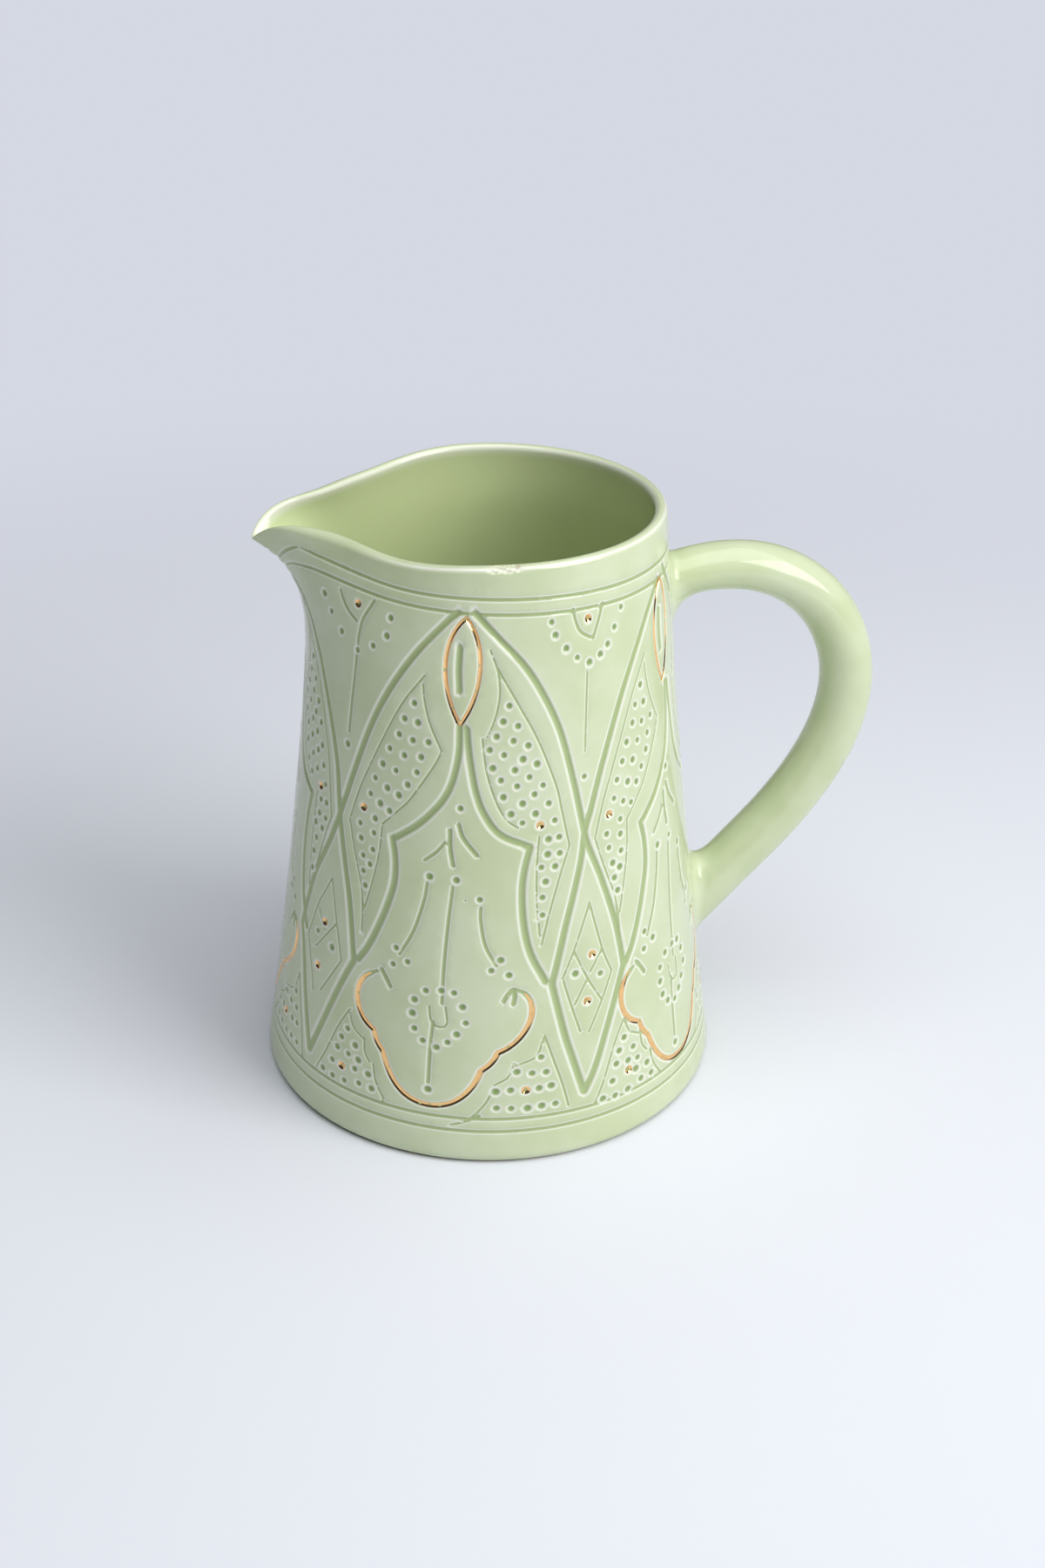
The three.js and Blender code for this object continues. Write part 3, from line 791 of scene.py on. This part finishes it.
def hoop_faces(rings, sides, closed):
    faces = []
    for i in range(rings if closed else rings - 1):
        n = (i + 1) % rings
        for j in range(sides):
            k = (j + 1) % sides
            faces.append([i * sides + j, i * sides + k, n * sides + k, n * sides + j])
    return faces


def capped(rings, ends):
    """Points and faces of a tube of rings, closed at both ends by fans round a point."""
    sides = len(rings[0])
    faces = hoop_faces(len(rings), sides, False)
    first = len(rings) * sides
    for j in range(sides):
        k = (j + 1) % sides
        faces.append([first, k, j])
        faces.append([first + 1, first - sides + j, first - sides + k])
    return np.vstack([*rings, ends]), faces


# Body

def arc(radius, z, round_, start, end, steps):
    return np.array([radius, z]) + round_ * circle(np.radians(np.linspace(start, end, steps + 1)))


def ring_angles():
    """Angles of a plain ring's points from the spout, closer together there and at the bruise."""
    turn = np.linspace(-np.pi, np.pi, RING_STEPS + 1)
    even = np.degrees(turn - CROWDING * np.sin(turn))
    across = np.linspace(-BRUISE_SPREAD, BRUISE_SPREAD, BRUISE_STEPS) * BRUISE_REACH
    fine = from_spout(BRUISE_AZIMUTH) + across
    even = even[np.abs(even - fine.mean()) > BRUISE_SPREAD * BRUISE_REACH + BRUISE_GAP]
    return np.sort(np.r_[even, fine])


def body_profiles():
    """Profiles below the carved wall and above it, and how deep in the wall the points above are."""
    heel = wall_radius(BASE_ROUND) - BASE_ROUND
    low = np.vstack([
        [(r, 0.0) for r in np.linspace(0, heel, BASE_STEPS)[:-1]],
        arc(heel, BASE_ROUND, BASE_ROUND, -90, 0, BASE_STEPS),
        [(wall_radius(h), h) for h in (HEEL_TOP, CARVED_BOTTOM)],
    ])
    corner_z = FLOOR + FLOOR_ROUND
    corner_r = wall_radius(corner_z) - WALL - FLOOR_ROUND
    lip_z = HEIGHT - LIP_WALL / 2
    turn = np.radians(np.linspace(0, 180, LIP_STEPS))
    over_lip = (1 - np.cos(turn)) / 2
    z = lip_z + LIP_WALL / 2 * np.sin(turn)
    inner = lip_z - (lip_z - corner_z) * np.linspace(0, 1, INNER_ROWS)[1:-1] ** INNER_CROWDING
    thickness = WALL - (WALL - LIP_WALL) * towards_rim(inner, (LIP_TAPER, LIP_WALL / 2))
    outside = [(wall_radius(h), h) for h in (CARVED_TOP, LIP_BOTTOM)]
    high = np.vstack([
        outside,
        np.c_[wall_radius(z) - LIP_WALL * over_lip, z],
        np.c_[wall_radius(inner) - thickness, inner],
        arc(corner_r, corner_z, FLOOR_ROUND, 0, -90, FLOOR_STEPS),
        [(r, FLOOR) for r in np.linspace(corner_r, 0, FLOOR_STEPS)[1:]],
    ])
    depth = np.r_[np.zeros(len(outside)), over_lip, np.ones(len(high) - len(outside) - LIP_STEPS)]
    return low, high, depth


class Skin:
    """The body's mesh: points with marks that the glaze goes by, and faces with their texture layout."""

    def __init__(self):
        self.points = []
        self.marks = {name: [] for name in ("by_stroke", "by_prick", "inside", "rim", "worn")}
        self.faces = []
        self.layout = []

    def add(self, points, **marks):
        """Adds points and returns their numbers. A mark that isn't given is 0."""
        start = len(self.points)
        self.points.extend(points)
        for name, values in self.marks.items():
            values.extend(np.broadcast_to(marks.get(name, 0), len(points)))
        return list(range(start, len(self.points)))

    def add_ring(self, around, radius, z, depth):
        """Adds a ring of points, or one point for all of them in the middle."""
        if radius == 0:
            return self.add([(0, 0, z)], inside=depth) * len(around)
        azimuth = around + SPOUT_AZIMUTH
        knock = bruise(azimuth, z, depth)
        ring = pulled(radius - BRUISE_PUSH * knock, azimuth, np.full(len(around), z), depth)
        ring[:, 2] -= knock
        # Thin glaze and a painted highlight along the lip
        rim = lip_thin_and_highlight(azimuth, z, depth)
        return self.add(ring, inside=depth, rim=rim, worn=knock / BRUISE_DEPTH)

    def join_rings(self, rings, angles, rise):
        turn = angles / 360 + 0.5
        count = len(rings[0])
        for lower, upper, low, high in zip(rings, rings[1:], rise, rise[1:]):
            for i in range(count):
                k = (i + 1) % count
                corners = {lower[i]: (turn[i], low), lower[k]: (turn[i + 1], low),
                           upper[k]: (turn[i + 1], high), upper[i]: (turn[i], high)}
                self.faces.append(list(corners))
                self.layout.extend(corners.values())

    def add_carved_wall(self, carving, strokes, pricks, angles, below, above):
        """Adds the carved wall between two rings, sewn to them and to itself along the seam."""
        spots, border = wall_points(strokes, pricks, angles)
        sheet = delaunay_2d_cdt([Vector(p) for p in spots], [], [], 0, MERGED, True)
        vertices, _, triangles, sources, _, _ = sheet
        wall = np.array([(v.x, v.y) for v in vertices])
        cut, to_stroke, to_prick = carving.at(wall)
        place, normal = on_wall(*unflat(wall))
        place = place - normal * cut[:, None]
        edges = [*below, below[0], *above, above[0]]
        number, met, own = {}, {}, []
        for i, source in enumerate(sources):
            s = min(source)
            if s < len(edges):
                number[i] = edges[s]
                continue
            key = ("seam", round(wall[i, 1], 3)) if s < border else i
            if key not in met:
                met[key] = len(self.points) + len(own)
                own.append(i)
            number[i] = met[key]
        self.add(place[own], by_stroke=FAR - to_stroke[own], by_prick=FAR - to_prick[own])
        share = (wall[:, 1] - CARVED_BOTTOM) / (CARVED_TOP - CARVED_BOTTOM)
        layout = np.c_[wall[:, 0] / ARC / 360 + 0.5, mix(*WALL_IN_LAYOUT, share)]
        for triangle in triangles:
            self.faces.append([number[t] for t in triangle])
            self.layout.extend(layout[triangle])


def carved_body(carving, strokes, pricks, material):
    angles = ring_angles()
    around = angles[:-1]
    low, high, depth = body_profiles()
    skin = Skin()
    low_rings = [skin.add_ring(around, radius, z, 0) for radius, z in low]
    high_rings = [skin.add_ring(around, *point, share) for point, share in zip(high, depth)]
    skin.join_rings(low_rings, angles, np.linspace(0, WALL_IN_LAYOUT[0], len(low)))
    skin.join_rings(high_rings, angles, np.linspace(WALL_IN_LAYOUT[1], 1, len(high)))
    skin.add_carved_wall(carving, strokes, pricks, angles, low_rings[-1], high_rings[0])
    body = make_object("carved_body", skin.points, skin.faces, material)
    body.data.uv_layers.new(name="OFBake").data.foreach_set("uv", np.ravel(skin.layout))
    for name, values in skin.marks.items():
        mark = body.data.attributes.new(name, "FLOAT", "POINT")
        mark.data.foreach_set("value", np.asarray(values, np.float32))
    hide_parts("body")


# Handle

def handle_curve():
    """The handle's path, from inside the upper joint to inside the lower one."""
    def off_wall(z, reach=0):
        return np.array([wall_radius(z) + reach, z])

    upper = off_wall(UPPER_JOINT_HEIGHT)
    bulge = off_wall(BULGE_HEIGHT, BULGE_REACH)
    lower = off_wall(LOWER_JOINT_HEIGHT)
    rise = circle(math.radians(UPPER_JOINT_RISE))
    climb = circle(math.radians(LOWER_JOINT_SLOPE))
    knee = lower + climb * LOWER_STRAIGHT
    over = [upper, upper + rise * UPPER_JOINT_PULL, bulge + [0, BULGE_PULL_UP], bulge]
    under = [bulge, bulge - [0, BULGE_PULL_DOWN], knee + climb * LOWER_PULL, knee]
    curves = np.vstack([
        [upper - rise * ROOT_DEPTH],
        bezier(over, HANDLE_STEPS),
        bezier(under, HANDLE_STEPS),
        [knee, lower - climb * ROOT_DEPTH],
    ])
    return evenly(curves, HANDLE_PATH_STEP)


HANDLE_PATH = handle_curve()
HANDLE_HEADINGS = unit(np.gradient(HANDLE_PATH, axis=0))
HANDLE_LENGTH = np.linalg.norm(np.diff(HANDLE_PATH, axis=0), axis=1).sum()
HANDLE_PLACES = np.linspace(0, HANDLE_LENGTH, len(HANDLE_PATH))

# Ends of the handle: a place inside the wall, one clear of it, the way out, widths of the fillet
UPPER_END = (0, ROOT_DEPTH + UPPER_NECK, 1, UPPER_FILLETS)
LOWER_END = (HANDLE_LENGTH, HANDLE_LENGTH - ROOT_DEPTH - LOWER_STRAIGHT, -1, LOWER_FILLETS)


def on_axis(distance):
    """Points in the middle of the handle, by distance along it."""
    x, z = (np.interp(distance, HANDLE_PLACES, v) for v in HANDLE_PATH.T)
    return np.c_[x, np.zeros(len(x)), z]


def on_handle(distance, angle, lift=0.0):
    """Points of the handle's skin, by distance along it and angle round its section."""
    x, _, z = on_axis(distance).T
    tx, tz = (np.interp(distance, HANDLE_PLACES, v) for v in HANDLE_HEADINGS.T)
    swell = smoothstep(distance / HANDLE_LENGTH, 0, NECK_TAPER)
    thick = mix(NECK_THICKNESS, GRIP_THICKNESS, swell) / 2 + lift
    wide = mix(NECK_WIDTH, GRIP_WIDTH, swell) / 2 + lift
    return np.c_[x - tz * thick * np.cos(angle), -wide * np.sin(angle), z + tx * thick * np.cos(angle)]


def meets_wall(angle, inside, clear):
    """Where lines of the skin meet the wall."""
    inside = np.full(len(angle), float(inside))
    clear = np.full(len(angle), float(clear))
    for _ in range(HALVINGS):
        middle = (inside + clear) / 2
        p = on_handle(middle, angle)
        buried = np.hypot(p[:, 0], p[:, 1]) < wall_radius(p[:, 2])
        inside = np.where(buried, middle, inside)
        clear = np.where(buried, clear, middle)
    return clear


def wall_beside(points):
    """Points of the wall at the azimuths and heights of given ones, and the normals there."""
    return on_wall(np.degrees(np.arctan2(points[:, 1], points[:, 0])), points[:, 2])


def smooth_handle(material):
    angle = turns(HANDLE_SIDES)
    start = meets_wall(angle, *UPPER_END[:2]) - BURIAL
    end = meets_wall(angle, *LOWER_END[:2]) + BURIAL
    rings = [on_handle(mix(start, end, i / (HANDLE_RINGS - 1)), angle) for i in range(HANDLE_RINGS)]
    points, faces = capped(rings, [rings[0].mean(axis=0), rings[-1].mean(axis=0)])
    handle = make_object("pulled_handle", points, faces, material)
    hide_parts("handle")


def fillet(name, node, end, material):
    """Clay smoothed round an end of the handle: a hoop with a hollow face from wall to grip."""
    inside, clear, away, widths = end
    angle = turns(FILLET_SIDES)
    width = mix(*widths, np.sin(angle / 2) ** FILLET_NARROWING)
    hit = meets_wall(angle, inside, clear)
    corner = on_handle(hit, angle)
    grip = on_handle(hit + away * width, angle, FILLET_LIFT)
    grip_under = on_handle(hit + away * width, angle, -GRIP_BURIAL)
    _, normal = wall_beside(corner)
    spread = corner - on_axis(hit)
    spread = unit(spread - normal * (spread * normal).sum(axis=1, keepdims=True))
    on_body, foot_normal = wall_beside(corner + spread * width[:, None])
    under = on_body - foot_normal * BURIAL
    buried = corner - normal * BURIAL
    on_body = on_body + foot_normal * FILLET_LIFT
    t = np.linspace(0, 1, FILLET_STEPS + 1)[:, None, None]
    hollow = on_body * (1 - t)**2 + 2 * corner * t * (1 - t) + grip * t**2
    outline = np.concatenate([under[None], hollow, grip_under[None], buried[None]])
    if away > 0:
        outline = outline[::-1]
    points = outline.transpose(1, 0, 2).reshape(-1, 3)
    piece = make_object(name, points, hoop_faces(FILLET_SIDES, len(outline), True), material, CREASE)
    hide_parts(node)


# Gold

def lifted(points, carving, film):
    cut, _, _ = carving.at(points)
    place, normal = on_wall(*unflat(points))
    return place + normal * (film - cut)[:, None]


def gold_line(name, path, half_width, carving, material):
    """A film of gold along a groove. Unless its ends meet, it narrows towards them."""
    middle = evenly(path, GOLD_STEP)
    closed = math.dist(path[0], path[-1]) < GOLD_STEP
    if closed:
        middle = middle[:-1]
        along = np.roll(middle, -1, axis=0) - np.roll(middle, 1, axis=0)
        width = np.ones(len(middle))
    else:
        along = np.gradient(middle, axis=0)
        steps = np.arange(len(middle))
        from_end = np.minimum(steps, steps[::-1]) * GOLD_STEP
        width = mix(GOLD_END_WIDTH, 1, smoothstep(from_end, 0, GOLD_TAPER))
    normal = sideways(along) * (half_width * width)[:, None]
    top = [lifted(middle + normal * s, carving, GOLD_FILM) for s in np.linspace(-1, 1, GOLD_ROWS)]
    back = [lifted(middle + normal * s, carving, -GOLD_BACK) for s in (1, -1)]
    rings = np.stack(top + back, axis=1)
    count, sides = rings.shape[:2]
    faces = [f[::-1] for f in hoop_faces(count, sides, closed)]
    if not closed:
        faces.append(list(range(sides)))
        faces.append([(count - 1) * sides + j for j in range(sides)][::-1])
    return make_object(name, rings.reshape(-1, 3), faces, material, CREASE)


def gold_dot(name, spot, carving, material):
    films = [(radius, GOLD_FILM) for radius in DOT_RADII] + [(DOT_RADII[-1], -GOLD_BACK)]
    around = circle(turns(DOT_SIDES))
    rings = [lifted(spot + around * radius, carving, film) for radius, film in films]
    ends = [lifted(spot[None], carving, film)[0] for film in (GOLD_FILM, -GOLD_BACK)]
    points, faces = capped(rings, ends)
    return make_object(name, points, [f[::-1] for f in faces], material, CREASE)


def lay_gold(carving, material):
    for column in range(COLUMNS):
        made = {}
        paths, spots = gold_drawing(column)
        for motif, path in paths.items():
            ending = f"{motif}_{column + 1}"
            made[ending] = gold_line(f"lustre_{ending}", path, GOLD_HALF_WIDTHS[motif], carving, material)
        for place, spot in spots.items():
            ending = f"dot_{place}_{column + 1}"
            made[ending] = gold_dot(f"lustre_{ending}", spot, carving, material)
        for ending, piece in made.items():
            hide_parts(f"gold_{ending}")


# Materials

GLAZE = (0.635, 0.705, 0.485)
GLAZE_MOTTLED = (0.57, 0.65, 0.4)
# Painted shade: a darker, greener glaze tone over the inside of the bowl
GLAZE_INSIDE_SHADE = (0.6, 0.69, 0.38)
GLAZE_IN_STROKES = (0.395, 0.49, 0.23)
GLAZE_IN_PRICKS = (0.275, 0.385, 0.135)
# Pale thin glaze at cut edges; on the lip it also serves as a painted highlight
GLAZE_THIN_AND_HIGHLIGHT = (0.845, 0.865, 0.765)
GLAZE_ROUGHNESS = (0.06, 0.11)
GLAZE_IOR = 1.52
CLAY = (0.42, 0.3, 0.2)
CLAY_PALE = (0.8, 0.76, 0.62)
GOLD = (0.95, 0.6, 0.27)
GOLD_WORN = (0.72, 0.42, 0.17)
GOLD_WEAR = (0, 0.6)
GOLD_ROUGHNESS = (0.1, 0.2)

# How far glaze thins on the lip, where it is partly a painted highlight, and beside cuts, and where it
# thins and pools, in half widths from a cut
RIM_THIN_AND_HIGHLIGHT = (0, 0.9)
THIN_AT_CUTS = (0, 0.8)
THIN_BAND = (1.65, 1.15)
POOL_BAND = (1.1, 0.5)

# Noise: its scale, then the part of its range over which it comes in
MOTTLE = (38, 0.35, 0.7)
GLAZE_SHEEN = (120, 0.3, 0.7)
BARE_SPECKS = (900, 0.35, 0.6)
GOLD_PATCHES = (420, 0.45, 0.8)
GOLD_SHEEN = (300, 0.3, 0.7)
NOISE_DETAIL = 3
NOISE_ROUGHNESS = 0.55
RIPPLE_SCALE = 260
RIPPLE_DETAIL = 2
RIPPLE = {"Strength": 0.08, "Distance": 0.4 * MM}

# Bare clay: a line at the foot, and a spot on the lip beside the bruise
BARE_FOOT = 1
RIM_SPOT_TURN = 4
RIM_SPOT_INSET = 1.6
RIM_SPOT_HEIGHT = 199.2
RIM_SPOT_SIZE = 1.3
RIM_SPOT_STRENGTH = (0, 0.8)


class Shader:
    """A material's nodes, added and linked in one call each."""

    def __init__(self, owner, surface="Principled BSDF"):
        owner.use_nodes = True
        self.tree = owner.node_tree
        self.surface = self.tree.nodes[surface]

    def fill(self, node, inputs):
        """Sets a node's inputs to other nodes' outputs, colours or numbers."""
        for key, value in inputs.items():
            socket = node.inputs[key]
            if isinstance(value, bpy.types.NodeSocket):
                self.tree.links.new(value, socket)
            else:
                socket.default_value = (*value, 1) if socket.type == "RGBA" else value

    def add(self, kind, output, inputs, **settings):
        node = self.tree.nodes.new(f"ShaderNode{kind}")
        for key, value in settings.items():
            setattr(node, key, value)
        self.fill(node, inputs)
        return node.outputs[output]

    def mixed(self, share, a, b):
        return self.add("Mix", 2, {"Factor": share, 6: a, 7: b}, data_type="RGBA")

    def place(self):
        return self.add("TexCoord", "Object", {})

    def attribute(self, name):
        return self.add("Attribute", "Fac", {}, attribute_name=name)

    def noise(self, scale, detail=NOISE_DETAIL):
        inputs = {"Vector": self.place(), "Scale": scale, "Detail": detail, "Roughness": NOISE_ROUGHNESS}
        return self.add("TexNoise", "Fac", inputs)

    def ramp(self, value, low, high, ends=(0, 1)):
        inputs = {"Value": value, "From Min": low, "From Max": high, "To Min": ends[0], "To Max": ends[1]}
        return self.add("MapRange", "Result", inputs, interpolation_type="SMOOTHSTEP")

    def patches(self, noise, ends=(0, 1)):
        scale, low, high = noise
        return self.ramp(self.noise(scale), low, high, ends)


def glaze_material():
    """Celadon glaze: greener where it pools in the cuts and paler where it runs thin over edges, with a
    painted highlight along the lip and painted shade inside the bowl.
    """
    material = bpy.data.materials.new("celadon_glaze")
    s = Shader(material)
    tone = s.mixed(s.patches(MOTTLE), GLAZE, GLAZE_MOTTLED)
    # Painted shade inside the bowl
    tone = s.mixed(s.ramp(s.attribute("inside"), 0.5, 1), tone, GLAZE_INSIDE_SHADE)
    # Thin glaze and a painted highlight along the lip
    tone = s.mixed(s.ramp(s.attribute("rim"), 0, 1, RIM_THIN_AND_HIGHLIGHT), tone, GLAZE_THIN_AND_HIGHLIGHT)
    thin, pool = ([FAR - edge for edge in band] for band in (THIN_BAND, POOL_BAND))
    for name, pooled in (("by_stroke", GLAZE_IN_STROKES), ("by_prick", GLAZE_IN_PRICKS)):
        closeness = s.attribute(name)
        tone = s.mixed(s.ramp(closeness, *thin, THIN_AT_CUTS), tone, GLAZE_THIN_AND_HIGHLIGHT)
        tone = s.mixed(s.ramp(closeness, *pool), tone, pooled)
    place = s.place()
    height = s.add("SeparateXYZ", "Z", {0: place})
    tone = s.mixed(s.ramp(height, BARE_FOOT * MM, 0), tone, CLAY)
    specks = {0: s.attribute("worn"), 1: s.patches(BARE_SPECKS)}
    tone = s.mixed(s.add("Math", 0, specks, operation="MULTIPLY"), tone, CLAY_PALE)
    inset = RIM_SPOT_INSET / LIP_WALL
    spot = pulled(RIM_RADIUS - RIM_SPOT_INSET, BRUISE_AZIMUTH + RIM_SPOT_TURN, RIM_SPOT_HEIGHT, inset)
    away = s.add("VectorMath", "Value", {0: place, 1: tuple(spot * MM)}, operation="DISTANCE")
    tone = s.mixed(s.ramp(away, RIM_SPOT_SIZE * MM, 0, RIM_SPOT_STRENGTH), tone, CLAY)
    s.fill(s.surface, {
        "Base Color": tone,
        "Roughness": s.patches(GLAZE_SHEEN, GLAZE_ROUGHNESS),
        "Normal": s.add("Bump", 0, {"Height": s.noise(RIPPLE_SCALE, RIPPLE_DETAIL), **RIPPLE}),
        "IOR": GLAZE_IOR,
    })
    return material


def gold_material():
    material = bpy.data.materials.new("gold_lustre")
    s = Shader(material)
    s.fill(s.surface, {
        "Base Color": s.mixed(s.patches(GOLD_PATCHES, GOLD_WEAR), GOLD, GOLD_WORN),
        "Roughness": s.patches(GOLD_SHEEN, GOLD_ROUGHNESS),
        "Metallic": 1,
    })
    return material


# Stage

CAMERA_PLACE = (-89.47, -636.62, 443.79)
CAMERA_RIGHT = (0.98866, -0.14971, 0.01187)
CAMERA_UP = (0.06041, 0.46881, 0.88123)
CAMERA_BACK = (-0.1375, -0.87052, 0.47254)
LENS = 50
FILM_HEIGHT = 36
FLOOR_TONE = (0.775, 0.8, 0.86)
FLOOR_ROUGHNESS = 0.8
FLOOR_SHINE = 0.1
FLOOR_SIDE = 20
FLOOR_FADES = (0.2, 0.75)
BACKGROUND = (0.665, 0.69, 0.775)
SKY_LOW = (0.04, 0.041, 0.044)
SKY_HIGH = (0.22, 0.222, 0.235)
SKY_POWER = 2
LIT_PLACE = (0, 0, 0.1)
# Lamps: place, size, power and tint
LAMPS = {
    "softbox": ((1, -0.9, 0.97), (1, 0.95), 16.9, (1, 0.985, 0.96)),
    "overhead": ((0.22, -0.4, 1.9), (2.2, 1.8), 27.5, (0.98, 0.99, 1)),
}


def set_camera():
    data = bpy.data.cameras.new("camera")
    data.lens = LENS
    data.sensor_fit = "VERTICAL"
    data.sensor_height = FILM_HEIGHT
    camera = in_scene("camera", data)
    turn = Matrix((CAMERA_RIGHT, CAMERA_UP, CAMERA_BACK)).transposed().to_4x4()
    camera.matrix_world = Matrix.Translation(Vector(CAMERA_PLACE) * MM) @ turn
    scene.camera = camera


def set_floor():
    """A pale floor that takes the shadow and fades into the background away from the part."""
    material = bpy.data.materials.new("pale_floor")
    s = Shader(material)
    reach = s.add("VectorMath", "Value", {0: s.place()}, operation="LENGTH")
    seen = s.add("LightPath", "Is Camera Ray", {})
    fade = s.add("Math", 0, {0: s.ramp(reach, *FLOOR_FADES), 1: seen}, operation="MULTIPLY")
    shine = {"Roughness": FLOOR_ROUGHNESS, "Specular IOR Level": FLOOR_SHINE}
    s.fill(s.surface, {"Base Color": FLOOR_TONE, **shine})
    far = s.add("Emission", 0, {"Color": BACKGROUND})
    mixed = s.add("MixShader", 0, {0: fade, 1: s.surface.outputs[0], 2: far})
    s.fill(s.tree.nodes["Material Output"], {"Surface": mixed})
    mesh = bpy.data.meshes.new("floor")
    corners = [(x * FLOOR_SIDE, y * FLOOR_SIDE, 0) for x, y in ((-1, -1), (1, -1), (1, 1), (-1, 1))]
    mesh.from_pydata(corners, [], [(0, 1, 2, 3)])
    mesh.materials.append(material)
    floor = in_scene("floor", mesh)
    floor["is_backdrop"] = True


def set_world():
    """A studio, bright overhead and dim to the sides, that the camera sees as the pale background."""
    world = bpy.data.worlds.new("studio")
    scene.world = world
    s = Shader(world, "Background")
    up = s.add("SeparateXYZ", "Z", {0: s.add("TexCoord", "Generated", {})})
    overhead = s.add("Math", 0, {0: s.ramp(up, 0, 1), 1: SKY_POWER}, operation="POWER")
    sky = s.mixed(overhead, SKY_LOW, SKY_HIGH)
    seen = s.add("LightPath", "Is Camera Ray", {})
    s.fill(s.surface, {"Color": s.mixed(seen, sky, BACKGROUND)})


def add_lamp(name, place, size, power, tint):
    data = bpy.data.lights.new(name, "AREA")
    data.shape = "RECTANGLE"
    data.size, data.size_y = size
    data.energy = power
    data.color = tint
    lamp = in_scene(name, data)
    lamp.location = place
    lamp.rotation_euler = (Vector(LIT_PLACE) - Vector(place)).to_track_quat("-Z", "Y").to_euler()


scene.view_settings.view_transform = "Standard"
set_camera()
set_floor()
set_world()
for lamp_name, settings in LAMPS.items():
    add_lamp(lamp_name, *settings)
all_strokes, all_pricks = drawn_paths()
cut_wall = Carving(all_strokes, all_pricks)
celadon = glaze_material()
lustre = gold_material()
carved_body(cut_wall, all_strokes, all_pricks, celadon)
smooth_handle(celadon)
fillet("upper_joint", "upper_handle_fillet", UPPER_END, celadon)
fillet("lower_joint", "lower_handle_fillet", LOWER_END, celadon)
lay_gold(cut_wall, lustre)

boxes = {"cad": cad_box, "visual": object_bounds()}
{key: [list(corner) for corner in box] for key, box in boxes.items()}
